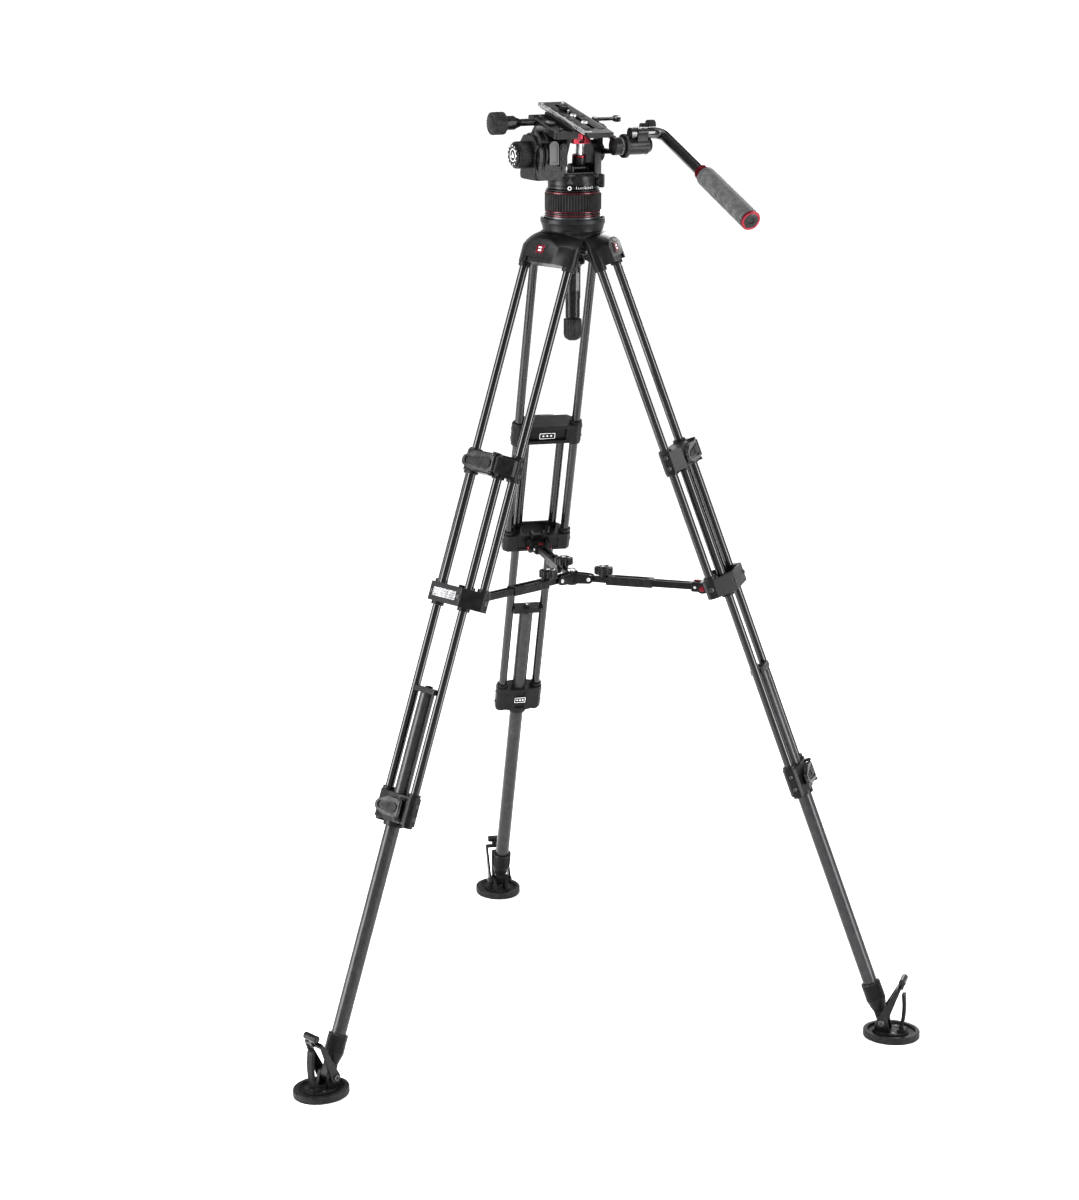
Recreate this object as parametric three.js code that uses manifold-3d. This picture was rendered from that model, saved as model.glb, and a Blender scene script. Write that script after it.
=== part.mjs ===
// Video tripod with a fluid head: twin-tube legs, mid-level spreader, bowl and pan/tilt head.
// Millimetres, +Z up, standing on the ground plane, centred on its own bounds.
import * as THREE from 'three';
import { mergeVertices } from 'three/addons/utils/BufferGeometryUtils.js';
import Module from 'manifold-3d';

const wasm = await Module();
wasm.setup();

// ---- driving dimensions -------------------------------------------------------------------
const GAP = 0.3;                       // clearance between neighbouring pieces
const ROUND = 18;                      // facets on visible round parts
const SMALL = 10;                      // facets on pins and bores
const TUBE_FACETS = 14;
const FINE = 28;                       // facets on the crown, ball and pan rings

const LEG_AZIMUTH = { a: -150, b: -30, c: 90 };   // degrees, seen from above
const LEG_TILT = 20.57;                // degrees from vertical when spread
const HINGE_R = 52;                    // leg hinge, distance from the tripod axis
const HINGE_Z = 1440;                  // leg hinge height

const UPPER_Y = 55;                    // half spacing of the upper tubes
const MID_Y = 33.8;                    // half spacing of the middle tubes
const MID_X = 16.5;                    // middle tubes stand this far outward of the upper ones
const TUBE_R = 8;                      // upper and middle tube radius
const TUBE_BORE = 6.5;
const LOWER_R = 13.5;                  // single lower tube
const LOWER_BORE = 11.5;
const UPPER_CLAMP = [379, 423];        // stations down the leg from its hinge
const BRACKET = [624, 658];
const SLIDER = [808, 826];
const LOWER_CLAMP = [1001, 1051];
const SOCKET = [1438, 1474];
const PAD_PIVOT_Z = 32;                // foot pivot above the ground
const PAD_THICK = 15;
const ARM_PIVOT = { x: -30, s: 641 };  // spreader arm pivot on the bracket
const HUB_PIVOT_R = 34;                // spreader arm pivot on the hub

const BALL_Z = 1487;                   // centre of the levelling ball, level with the bowl lip
const BALL_R = 50;
const BALL_ARC = [82, 65, 48, 31];     // degrees from straight down, stations on the ball
const RING_R = 50.5;                   // pan drag ring
const PAN_R = 45;                      // pan housing
const PAN_Z = [1538, 1565];
const HEAD_PAN = 12.4;                 // degrees the head is turned
const TILT_Z = 1600;                   // tilt axis height
const TILT_REST = 12.2;                // degrees the camera platform leans back
const CRANK = 27;                      // counterbalance crank pin above and pivot below the axis
const PISTON_X = 10.5;
const ROSETTE = { y: -56, z: 26 };     // pan bar joint, in the tilting frame
const BAR_R = 10.5;
const BAR_OFFSET = 22;                 // bar axis above the rosette axis
const BAR_DROP = 9.5;                   // degrees the bar falls below the tilting platform
const BAR_LENGTH = 338;
const GRIP_LENGTH = 169;
const GRIP_R = 17.7;

const rad = THREE.MathUtils.degToRad;

// ---- materials ----------------------------------------------------------------------------
const finish = {
  carbon: [0x2b2b2d, 0.3, 0.1],
  casting: [0x1d1d1f, 0.5, 0.3],
  lever: [0x323234, 0.5, 0.2],
  rubber: [0x29292a, 0.8, 0.0],
  anodised: [0x7d0f20, 0.3, 0.85],
  gloss: [0x0c0c0d, 0.15, 0.3],
  steel: [0xb9bbbd, 0.3, 1.0],
};

function material(key) {
  const [color, roughness, metalness] = finish[key];
  return new THREE.MeshStandardMaterial({ color, roughness, metalness });
}

// ---- solid helpers ------------------------------------------------------------------------
function solid(source) {
  const bare = new THREE.BufferGeometry();
  bare.setAttribute('position', source.getAttribute('position').clone());
  if (source.index) bare.setIndex(source.index.clone());
  const welded = mergeVertices(bare, 1e-4);
  const vertProperties = new Float32Array(welded.getAttribute('position').array);
  const triVerts = new Uint32Array(welded.index.array);
  const body = new wasm.Manifold(new wasm.Mesh({ numProp: 3, vertProperties, triVerts }));
  if (body.volume() >= 0) return body;
  for (let i = 0; i < triVerts.length; i += 3) {
    [triVerts[i], triVerts[i + 1]] = [triVerts[i + 1], triVerts[i]];
  }
  return new wasm.Manifold(new wasm.Mesh({ numProp: 3, vertProperties, triVerts }));
}

function box([x0, x1], [y0, y1], [z0, z1]) {
  const shape = new THREE.BoxGeometry(x1 - x0, y1 - y0, z1 - z0);
  return solid(shape.translate((x0 + x1) / 2, (y0 + y1) / 2, (z0 + z1) / 2));
}

// Turns a shape built along +Z so that it runs along the named axis.
const alongAxis = {
  x: (shape) => shape.rotateY(Math.PI / 2),
  y: (shape) => shape.rotateX(-Math.PI / 2),
  z: (shape) => shape,
};

// Cylinder or cone along an axis, from 'from' to 'to', through the point 'at'.
function rod(axis, r, [from, to], at = [0, 0, 0], facets = ROUND, rEnd = r) {
  const shape = new THREE.CylinderGeometry(rEnd, r, to - from, facets);
  shape.rotateX(Math.PI / 2).translate(0, 0, (from + to) / 2);
  alongAxis[axis](shape);
  return solid(shape.translate(...at));
}

// Straight prism of a closed outline; the outline is in (x, y), extruded along +Z.
function prismGeometry(outline, [from, to]) {
  const face = new THREE.Shape(outline.map(([x, y]) => new THREE.Vector2(x, y)));
  const shape = new THREE.ExtrudeGeometry(face, { depth: to - from, bevelEnabled: false });
  return shape.translate(0, 0, from);
}

const prism = (outline, span) => solid(prismGeometry(outline, span));

// Prism whose outline is in (y, z) and which runs along X.
function prismX(outline, [from, to]) {
  const shape = prismGeometry(outline, [from, to]);
  const basis = new THREE.Matrix4().makeBasis(
    new THREE.Vector3(0, 1, 0), new THREE.Vector3(0, 0, 1), new THREE.Vector3(1, 0, 0));
  return solid(shape.applyMatrix4(basis));
}

// Body of revolution about Z from (radius, height) points; a ring closes on itself.
function turned(profile, facets = ROUND) {
  return solid(new THREE.LatheGeometry(
    profile.map(([r, z]) => new THREE.Vector2(r, z)), facets).rotateX(Math.PI / 2));
}

const ringProfile = (outer, inner, [from, to]) => [
  [inner, from], [outer, from], [outer, to], [inner, to], [inner, from]];

// Heights on a sphere about the ball centre, below it.
const onSphere = (radius, r) => BALL_Z - Math.sqrt(radius * radius - r * r);

// Points on that sphere at angles from straight down.
const ballArc = (radius, degrees) => degrees.map(
  (angle) => [radius * Math.sin(rad(angle)), BALL_Z - radius * Math.cos(rad(angle))]);

function join(first, ...rest) {
  return rest.reduce((sum, next) => sum.add(next), first);
}

function cut(first, ...rest) {
  return rest.reduce((left, next) => left.subtract(next), first);
}

const mirrored = (make) => join(make(1), make(-1));

function moved(body, { x = 0, y = 0, z = 0, turnY = 0, turnZ = 0 }) {
  return body.rotate([0, turnY, 0]).rotate([0, 0, turnZ]).translate([x, y, z]);
}

function piece(name, body, look) {
  const { vertProperties, triVerts } = body.getMesh();
  const geometry = new THREE.BufferGeometry();
  geometry.setAttribute('position', new THREE.BufferAttribute(new Float32Array(vertProperties), 3));
  geometry.setIndex(new THREE.BufferAttribute(new Uint32Array(triVerts), 1));
  geometry.computeVertexNormals();
  const mesh = new THREE.Mesh(geometry, material(look));
  mesh.name = name;
  return mesh;
}

const along = ([from, to]) => [-to, -from];      // leg stations to heights in the leg frame
const outline = (half) => [...half, ...half.map(([x, y]) => [x, -y]).reverse()];

// ---- legs ---------------------------------------------------------------------------------
// Leg frame: +X outward, +Y sideways, +Z up the leg, origin on the leg hinge.
function tube(y, x, span) {
  return turned(ringProfile(TUBE_R, TUBE_BORE, along(span)), TUBE_FACETS)
    .translate([x, y, 0]);
}

const tubeHole = (y, x, span) => rod('z', TUBE_R + GAP, along(span), [x, y, 0], TUBE_FACETS);
const upperHoles = (span) => mirrored((side) => tubeHole(side * UPPER_Y, 0, span));
const midHoles = (span) => mirrored((side) => tubeHole(side * MID_Y, MID_X, span));

function yoke() {
  const block = prism(outline([[-6, -66], [7, -66], [24, -45]]), along([-15, 36]));
  const notch = box([-7, 14], [-20.5, 20.5], [-16, 16]);
  return join(cut(block, notch, upperHoles([13, 37])), rod('y', 4, [-22, 22], [0, 0, 0], SMALL));
}

function bracket() {
  const block = prism(outline([[-15, -58], [-8, -66], [6, -66], [38, -40]]), along(BRACKET));
  const through = [BRACKET[0] - 1, BRACKET[1] + 1];
  const middle = box([-4, 33], [-29, 29], along(through));
  const ear = (side) => box([-38, -14], side > 0 ? [14, 21] : [-21, -14],
    [-ARM_PIVOT.s - 10, -ARM_PIVOT.s + 10]);
  const pin = rod('y', 3, [-16, 16], [ARM_PIVOT.x, 0, -ARM_PIVOT.s], SMALL);
  return join(cut(block, middle, midHoles(through), upperHoles(through)), mirrored(ear), pin);
}

function upperClamp() {
  const block = prism(outline([[-13, -56], [-6, -67], [8, -67], [29, -44]]), along(UPPER_CLAMP));
  const through = [UPPER_CLAMP[0] - 1, UPPER_CLAMP[1] + 1];
  return cut(block, upperHoles(through), midHoles([UPPER_CLAMP[0] + 6, through[1]]));
}

function lowerClamp() {
  const block = prism(outline([[-2, -14], [4, -40], [10, -46], [23, -46], [29, -40], [35, -14]]),
    along(LOWER_CLAMP));
  const through = [LOWER_CLAMP[0] - 1, LOWER_CLAMP[1] + 1];
  return cut(block, midHoles([through[0], LOWER_CLAMP[1] - 6]),
    rod('z', LOWER_R + GAP, along(through), [MID_X, 0, 0]));
}

// Flat cam lever lying on the outer face of a clamp, hinged along its +Y edge.
function clampLever(face, [from, to], halfWidth) {
  const height = 40;
  const middle = -(from + to) / 2;
  const span = [middle - height / 2, middle + height / 2];
  const barrel = 3.8;
  const plate = box([face + GAP, face + GAP + 2 * barrel], [-halfWidth, halfWidth - barrel], span);
  return join(plate,
    rod('z', barrel, span, [face + GAP + barrel, halfWidth - barrel, 0], SMALL));
}

function lowerLeg() {
  const bridge = cut(box([2, 31], [-28.5, 28.5], along(SLIDER)),
    midHoles([SLIDER[0] - 1, SLIDER[1] + 1]));
  const end = padPivotStation();
  const shell = join(
    rod('z', LOWER_R, along([SLIDER[0] - 2, SOCKET[0] + 6]), [MID_X, 0, 0]),
    bridge,
    rod('z', 18, along(SOCKET), [MID_X, 0, 0]),
    rod('z', 14, along([SOCKET[1] - 1, end - 20]), [MID_X, 0, 0]),
    box([MID_X - 10, MID_X + 10], [-9, 9], along([end - 24, end])),
    rod('y', 10, [-9, 9], [MID_X, 0, -end]));
  return cut(shell,
    rod('z', LOWER_BORE, along([SLIDER[0] - 5, SOCKET[0]]), [MID_X, 0, 0]),
    rod('y', 4 + GAP, [-10, 10], [MID_X, 0, -end], SMALL));
}

// Distance down the leg at which the lower tube's axis reaches the foot pivot height.
function padPivotStation() {
  return (HINGE_Z + MID_X * Math.sin(rad(LEG_TILT)) - PAD_PIVOT_Z) / Math.cos(rad(LEG_TILT));
}

function padPivotRadius() {
  return HINGE_R + padPivotStation() * Math.sin(rad(LEG_TILT)) + MID_X * Math.cos(rad(LEG_TILT));
}

// Foot frame: upright, +X outward, origin on the foot pivot.
function footPad() {
  const [halfLong, halfWide, forward] = [52.5, 46, 16];
  const oval = new THREE.CylinderGeometry(halfLong - 2, halfLong, PAD_THICK, FINE)
    .rotateX(Math.PI / 2).scale(1, halfWide / halfLong, 1)
    .translate(forward, 0, PAD_THICK / 2 - PAD_PIVOT_Z);
  const ear = (side) => box([-11, 11], side > 0 ? [9.5, 17] : [-17, -9.5],
    [PAD_THICK - 1 - PAD_PIVOT_Z, 10]);
  return join(solid(oval), mirrored(ear), rod('y', 4, [-11, 11], [0, 0, 0], SMALL));
}

function leg(key) {
  const name = (part) => `leg_${key}_${part}`;
  const upright = new THREE.Group();
  upright.rotation.z = rad(LEG_AZIMUTH[key]);
  const frame = new THREE.Group();
  frame.position.set(HINGE_R, 0, HINGE_Z);
  frame.rotation.y = -rad(LEG_TILT);
  frame.add(
    piece(name('yoke'), yoke(), 'casting'),
    piece(name('upper_tube_left'), tube(UPPER_Y, 0, [14, BRACKET[1] - 3]), 'carbon'),
    piece(name('upper_tube_right'), tube(-UPPER_Y, 0, [14, BRACKET[1] - 3]), 'carbon'),
    piece(name('bracket'), bracket(), 'casting'),
    piece(name('upper_clamp'), upperClamp(), 'casting'),
    piece(name('upper_lever'), clampLever(29, UPPER_CLAMP, 33), 'lever'),
    piece(name('middle_tube_left'),
      tube(MID_Y, MID_X, [UPPER_CLAMP[0] + 7, LOWER_CLAMP[1] - 7]), 'carbon'),
    piece(name('middle_tube_right'),
      tube(-MID_Y, MID_X, [UPPER_CLAMP[0] + 7, LOWER_CLAMP[1] - 7]), 'carbon'),
    piece(name('lower_clamp'), lowerClamp(), 'casting'),
    piece(name('lower_lever'), clampLever(35, LOWER_CLAMP, 30), 'lever'),
    piece(name('lower_leg'), lowerLeg(), 'carbon'));
  const pad = piece(name('foot_pad'), footPad(), 'rubber');
  pad.position.set(padPivotRadius(), 0, PAD_PIVOT_Z);
  upright.add(frame, pad);
  return upright;
}

// ---- spreader -----------------------------------------------------------------------------
function armPivot() {
  const t = rad(LEG_TILT);
  return {
    r: HINGE_R + ARM_PIVOT.s * Math.sin(t) + ARM_PIVOT.x * Math.cos(t),
    z: HINGE_Z - ARM_PIVOT.s * Math.cos(t) + ARM_PIVOT.x * Math.sin(t),
  };
}

const CHANNEL = { halfWide: 11, halfHigh: 8, from: 67, to: 153, wall: 1.6 };

// Hub-side arm: a slotted channel with a tongue that sits between the hub's cheeks.
function innerArm() {
  const { halfWide, halfHigh, from, to, wall } = CHANNEL;
  const inside = [halfWide - wall, halfHigh - wall];
  const channel = cut(
    box([from, to], [-halfWide, halfWide], [-halfHigh, halfHigh]),
    box([from + 2, to + 1], [-inside[0], inside[0]], [-inside[1], inside[1]]),
    box([from + 11, to - 8], [-4, 4], [0, halfHigh + 1]));
  return join(channel, box([HUB_PIVOT_R, from + 2], [-4, 4], [-5, 5]),
    rod('y', 5, [-4, 4], [HUB_PIVOT_R, 0, 0], SMALL));
}

// Leg-side arm: slides in the channel and pivots on the leg bracket.
function outerArm() {
  const pivot = armPivot().r;
  return cut(
    join(box([CHANNEL.to - 10, pivot - 18], [-9, 9], [-6, 6]),
      box([pivot - 22, pivot], [-13.7, 13.7], [-9, 9]),
      rod('y', 9, [-13.7, 13.7], [pivot, 0, 0])),
    rod('y', 3 + GAP, [-15, 15], [pivot, 0, 0], SMALL));
}

function hub() {
  const cheeks = Object.values(LEG_AZIMUTH).map((azimuth) => moved(
    mirrored((side) => box([0, 42], side > 0 ? [4.4, 9.4] : [-9.4, -4.4], [-10, 10])),
    { turnZ: azimuth }));
  return join(rod('z', 11, [-13, 13]), ...cheeks);
}

function spreader() {
  const group = new THREE.Group();
  group.position.z = armPivot().z;
  group.add(piece('spreader_hub', hub(), 'casting'));
  for (const [key, azimuth] of Object.entries(LEG_AZIMUTH)) {
    const arm = new THREE.Group();
    arm.rotation.z = rad(azimuth);
    arm.add(piece(`spreader_inner_arm_${key}`, innerArm(), 'casting'),
      piece(`spreader_outer_arm_${key}`, outerArm(), 'casting'));
    group.add(arm);
  }
  return group;
}

// ---- crown and tie-down -------------------------------------------------------------------
function crown() {
  const seat = BALL_R + 1;
  const under = BALL_R + 14;
  const profile = [
    [16, onSphere(under, 16)], [23, onSphere(under, 23)], [30, onSphere(under, 30)],
    [30, 1446], [66, 1442], [72, 1441], [73.5, 1450], [66, 1460], [54, 1464.5],
    [52.5, 1465.5], [53.5, 1473], [58, 1480], [58, BALL_Z], [53, BALL_Z],
    ...ballArc(seat, [...BALL_ARC, 18.5]),
    [16, onSphere(under, 16)]];
  const legs = Object.values(LEG_AZIMUTH);
  const clearance = legs.map((turnZ) => moved(
    moved(box([-9, 45], [-68.5, 68.5], [-50, 17.5]), { x: HINGE_R, z: HINGE_Z, turnY: -LEG_TILT }),
    { turnZ }));
  const lugs = legs.map((turnZ) => moved(cut(
    join(box([28, HINGE_R], [-20, 20], [1430, 1444]),
      rod('y', 11, [-20, 20], [HINGE_R, 0, HINGE_Z])),
    rod('y', 4 + GAP, [-21, 21], [HINGE_R, 0, HINGE_Z], SMALL)), { turnZ }));
  return join(cut(turned(profile, FINE), ...clearance), ...lugs);
}

function levellingRing() {
  const [inner, outer] = [BALL_R + 14 + GAP, BALL_R + 20 - GAP];
  return turned([
    [15, onSphere(outer, 15)], [20, onSphere(outer, 20)], [26, onSphere(outer, 26)],
    [26, onSphere(inner, 26)], [20, onSphere(inner, 20)], [15, onSphere(inner, 15)],
    [15, onSphere(outer, 15)]], FINE);
}

function tieDownHandle() {
  const seat = BALL_R + 20 + 0.5;
  return cut(turned([
    [0, 1267], [9, 1267], [15, 1272], [16.5, 1280], [16.5, 1305], [13, 1307], [13, 1343],
    [14, 1345], [14, 1404], [22, 1406],
    ...[22, 16, 9, 0].map((r) => [r, onSphere(seat, r)])]),
  rod('z', 6 + GAP, [1395, 1430]));
}

// ---- head ---------------------------------------------------------------------------------
function headBase() {
  return turned([
    [0, 1398], [6, 1398], [6, BALL_Z - BALL_R * Math.cos(rad(BALL_ARC.at(-1)))],
    ...ballArc(BALL_R, BALL_ARC.toReversed()),
    [BALL_R, BALL_Z], [BALL_R, 1491], [36, 1491], [36, 1545], [0, 1545]], FINE);
}

// Head frame: +X to the head's right, +Y forward, origin on the tripod axis.
function panBody() {
  const axis = [0, 0, TILT_Z];
  const housing = cut(rod('z', PAN_R, PAN_Z, [0, 0, 0], FINE),
    rod('z', 36 + GAP, [PAN_Z[0] - 1, 1545 + GAP], [0, 0, 0], FINE));
  const drum = join(rod('x', 38, [-85, -30], axis, FINE),
    box([-84, -30.5], [-27, 27], [1556, 1590]));
  const column = join(rod('x', 22, [30, 46], axis), box([30, 46], [-22, 22], [1556, TILT_Z]));
  const stubs = join(rod('x', 7, [-32, -20], axis), rod('x', 7, [44, 56], axis));
  const pivotZ = TILT_Z - CRANK;
  const ears = mirrored((side) => box(
    side > 0 ? [PISTON_X + 13.5, PISTON_X + 18] : [PISTON_X - 18, PISTON_X - 13.5],
    [-8, 8], [1560, pivotZ + 6]));
  const pin = rod('x', 4, [PISTON_X - 15, PISTON_X + 15], [0, 0, pivotZ], SMALL);
  return join(housing, drum, column, stubs, ears, pin);
}

function panLock() {
  return moved(join(rod('x', 8, [PAN_R + GAP, PAN_R + 6], [0, 0, 1551]),
    box([PAN_R + 4, PAN_R + 13], [-6, 6], [1541, 1565])), { turnZ: -48 });
}

function tiltDragKnob() {
  return join(rod('x', 24, [-116, -85 - GAP], [0, 0, TILT_Z]),
    rod('x', 20, [-119, -115], [0, 0, TILT_Z]));
}

// Curved lock lever that hugs the tilt drum and turns about the same axis.
function tiltLock() {
  const [inner, outer] = [39, 46];
  const point = (radius) => (angle) => [
    radius * Math.cos(rad(angle)), TILT_Z + radius * Math.sin(rad(angle))];
  const angles = [112, 124, 137, 150];
  return prismX([...angles.map(point(inner)), ...angles.toReversed().map(point(outer))],
    [-84, -67.5]);
}

// Tilting frame: head frame turned about the tilt axis, origin on that axis.
function cradle() {
  const platform = join(
    box([-66, 34], [-52, 60], [41, 53.5]),
    box([30, 55], [-50, 22], [41, 49.5]),
    box([-33, -27], [-52, 60], [53, 58]),
    box([27, 34], [-52, 60], [53, 58]));
  const bores = rod('x', 7 + GAP, [-31, 57]);
  const leftCheek = join(rod('x', 20, [-29.5, -21]),
    prismX([[-19, 0], [19, 0], [34, 42], [-30, 42]], [-29.5, -21]));
  const rightCheek = cut(
    join(rod('x', 17, [46.5, 55]), rod('x', 16, [46.5, 66], [0, ROSETTE.y, ROSETTE.z]),
      prismX([[14, -8], [20, 42], [-50, 42], [-66, 14], [-50, 11]], [46.5, 55])),
    prismX([[-14, 14], [-14, 36], [-38, 36], [-38, 22]], [46, 56]));
  const crank = join(box([PISTON_X - 3.5, PISTON_X + 3.5], [-6, 6], [CRANK - 4, 42]),
    rod('x', 4, [PISTON_X - 14, PISTON_X + 14], [0, 0, CRANK], SMALL));
  return join(platform, cut(leftCheek, bores), cut(rightCheek, bores), crank);
}

function slidePlate() {
  return prismX([[-93, 54], [102, 54], [102, 61.5], [99, 63.5], [-90, 63.5], [-93, 61.5]],
    [-26, 26]);
}

function plateLock() {
  return join(rod('z', 7, [50, 60], [42, 8, 0]), box([42, 84], [4.5, 11.5], [54, 59.5]),
    rod('z', 8, [52, 61.5], [84, 8, 0]));
}

function counterbalanceKnob() {
  const at = [0, 30, 49];
  return join(rod('x', 6.5, [-97, -66 - GAP], at), rod('x', 12.4, [-107, -95], at, ROUND, 7),
    rod('x', 12.4, [-126, -106], at), rod('x', 20, [-153, -125], at));
}

// Counterbalance link frame: origin on its pin, +Z along the link.
function pistonRod() {
  const block = cut(box([-17, 17], [-8, 8], [-10, 9]), box([-4, 4], [-9, 9], [-7.6, 10]),
    rod('x', 4 + GAP, [-18, 18], [0, 0, 0], SMALL));
  return join(block, rod('z', 7, [-37, -9]));
}

function pistonCylinder() {
  return cut(join(rod('z', 12.5, [4, 24]), rod('x', 7.3, [-12.5, 12.5]),
    box([-12.4, 12.4], [-6, 6], [0, 6])),
  rod('z', 8.3, [6.5, 25]), rod('x', 4 + GAP, [-14, 14], [0, 0, 0], SMALL));
}

// Bar frame: origin on the rosette axis, +X along it.
const BAR_START = 78;
const BAR_BEND = 21;
const BAR_TURN_X = 142;

function barClamp() {
  const body = join(rod('x', 25, [66.3, 74]), rod('x', 16, [73, 114]),
    rod('x', 16, [114, 120], [0, 0, 0], ROUND, 12),
    box([84, 112], [-14, 14], [4, BAR_OFFSET + 14]));
  return cut(body, rod('x', BAR_R + GAP, [BAR_START - GAP, 130], [0, 0, BAR_OFFSET]));
}

function panBar() {
  const down = new THREE.Vector3(0, -Math.cos(rad(BAR_DROP)), -Math.sin(rad(BAR_DROP)));
  const corner = new THREE.Vector3(BAR_TURN_X, 0, BAR_OFFSET);
  const start = corner.clone().add(new THREE.Vector3(-BAR_BEND, 0, 0));
  const end = corner.clone().addScaledVector(down, BAR_BEND);
  const circle = new THREE.Shape().absarc(0, 0, BAR_R, 0, 2 * Math.PI);
  const bend = new THREE.ExtrudeGeometry(circle, {
    steps: 5, curveSegments: SMALL / 2, bevelEnabled: false,
    extrudePath: new THREE.QuadraticBezierCurve3(start, corner, end),
  });
  const straight = (r, from, to) => {
    const shape = new THREE.CylinderGeometry(r, r, to - from, ROUND)
      .translate(0, (from + to) / 2, 0);
    const turn = new THREE.Quaternion().setFromUnitVectors(new THREE.Vector3(0, 1, 0), down);
    return solid(shape.applyQuaternion(turn).translate(corner.x, corner.y, corner.z));
  };
  const grip = BAR_LENGTH - GRIP_LENGTH;
  return join(rod('x', BAR_R, [BAR_START, start.x + 1], [0, 0, BAR_OFFSET]), solid(bend),
    straight(BAR_R, BAR_BEND - 1, grip + 5), straight(GRIP_R, grip, BAR_LENGTH));
}

function placed(mesh, x, y, z, turnX = 0) {
  mesh.position.set(x, y, z);
  mesh.rotation.x = turnX;
  return mesh;
}

function head() {
  const group = new THREE.Group();
  group.rotation.z = rad(HEAD_PAN);
  const lean = rad(TILT_REST);
  const tilting = new THREE.Group();
  tilting.position.z = TILT_Z;
  tilting.rotation.x = lean;
  tilting.add(
    piece('tilt_cradle', cradle(), 'casting'),
    piece('slide_plate', slidePlate(), 'casting'),
    piece('plate_lock_lever', plateLock(), 'lever'),
    piece('counterbalance_knob', counterbalanceKnob(), 'rubber'),
    placed(piece('piston_rod', pistonRod(), 'anodised'), PISTON_X, 0, CRANK, -lean / 2),
    placed(piece('bar_clamp', barClamp(), 'casting'), 0, ROSETTE.y, ROSETTE.z),
    placed(piece('pan_bar', panBar(), 'gloss'), 0, ROSETTE.y, ROSETTE.z));
  group.add(tilting,
    piece('head_base', headBase(), 'steel'),
    piece('pan_drag_ring', turned(ringProfile(RING_R, 36 + GAP, [1491 + GAP, PAN_Z[0] - GAP]), FINE),
      'rubber'),
    piece('pan_body', panBody(), 'casting'),
    piece('pan_lock_lever', panLock(), 'lever'),
    piece('tilt_drag_knob', tiltDragKnob(), 'casting'),
    piece('tilt_lock_lever', tiltLock(), 'lever'),
    placed(piece('piston_cylinder', pistonCylinder(), 'casting'),
      PISTON_X, 0, TILT_Z - CRANK, lean / 2));
  return group;
}

// ---- assembly -----------------------------------------------------------------------------
const tripod = new THREE.Group();
tripod.name = 'tripod';
tripod.add(leg('a'), leg('b'), leg('c'), spreader(),
  piece('crown', crown(), 'casting'),
  piece('levelling_ring', levellingRing(), 'casting'),
  piece('tie_down_handle', tieDownHandle(), 'rubber'),
  head());
tripod.updateMatrixWorld(true);
const bounds = new THREE.Box3().setFromObject(tripod, true);
tripod.position.set(-(bounds.min.x + bounds.max.x) / 2, -(bounds.min.y + bounds.max.y) / 2,
  -bounds.min.z);

export default tripod;
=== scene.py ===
"""Looks of a video tripod with a fluid head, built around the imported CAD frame."""

import math

import bmesh
import bpy
from mathutils import Matrix, Vector


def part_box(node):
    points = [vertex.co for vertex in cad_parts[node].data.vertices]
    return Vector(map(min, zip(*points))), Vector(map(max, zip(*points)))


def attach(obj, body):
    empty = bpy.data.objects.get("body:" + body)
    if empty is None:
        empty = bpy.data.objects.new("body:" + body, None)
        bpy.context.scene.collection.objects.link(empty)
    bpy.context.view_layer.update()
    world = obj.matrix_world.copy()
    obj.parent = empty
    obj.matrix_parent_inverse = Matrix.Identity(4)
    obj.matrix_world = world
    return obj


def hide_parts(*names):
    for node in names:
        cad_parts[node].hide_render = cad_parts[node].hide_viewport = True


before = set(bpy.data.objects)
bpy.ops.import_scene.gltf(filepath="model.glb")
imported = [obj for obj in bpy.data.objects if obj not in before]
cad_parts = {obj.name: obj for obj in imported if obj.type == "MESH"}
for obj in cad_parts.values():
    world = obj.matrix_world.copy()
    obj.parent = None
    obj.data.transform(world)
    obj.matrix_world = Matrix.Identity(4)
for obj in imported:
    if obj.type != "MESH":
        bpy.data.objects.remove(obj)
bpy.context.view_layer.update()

MM = 0.001
RAD = math.radians

# ---- dimensions shared with the frame, in millimetres ---------------------------------------
LEG_AZIMUTH = {"a": -150, "b": -30, "c": 90}
LEG_TILT, HINGE_R, HINGE_Z = 20.57, 52, 1440
UPPER_Y, MID_Y, MID_X = 55, 33.8, 16.5
TUBE_R, TUBE_BORE, LOWER_R = 8, 6.5, 13.5
ARM_X, ARM_S, PAD_Z = -30, 641, 32
SIN, COS = math.sin(RAD(LEG_TILT)), math.cos(RAD(LEG_TILT))
PAD_S = (HINGE_Z + MID_X * SIN - PAD_Z) / COS
PAD_R = HINGE_R + PAD_S * SIN + MID_X * COS
ARM_Z = HINGE_Z - ARM_S * COS + ARM_X * SIN
BALL_Z, TILT_Z, HEAD_PAN, TILT_REST, CRANK = 1487, 1600, 12.4, 12.2, 27
BALL_R, SEAT_R, NECK_BORE = 50, 50.7, 36.4
PISTON_X, ROSETTE = 10.5, (-56, 26)
BAR_R, BAR_OFFSET, BAR_DROP, BAR_LENGTH = 10.5, 22, 9.5, 338
GRIP_LENGTH, GRIP_R, BAR_BEND, BAR_TURN_X = 169, 17.7, 21, 142
UPPER_CLAMP = (29.3, 33, -401)      # outer face, half width and middle height of each leg clamp
LOWER_CLAMP = (35.3, 30, -1026)
LEVER_DEPTH, PIN_INSET = 7.6, 3.8
TOOTH_PITCH, TEETH, RIB_PITCH, RIBS = 6, 31, 4.35, 36
BAND_R, ARCH_R = 50.4, 49.4         # pan drag ring, and the cradle's clearance over the drum
EDGE_ANGLE, SHARP_ANGLE = 32, 34    # degrees above which an edge is rounded, or shaded sharp
FLOOR_RADIUS, FLOOR_Z, TOW_WIDTH = 200, -0.0005, 0.0024     # metres

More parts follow.
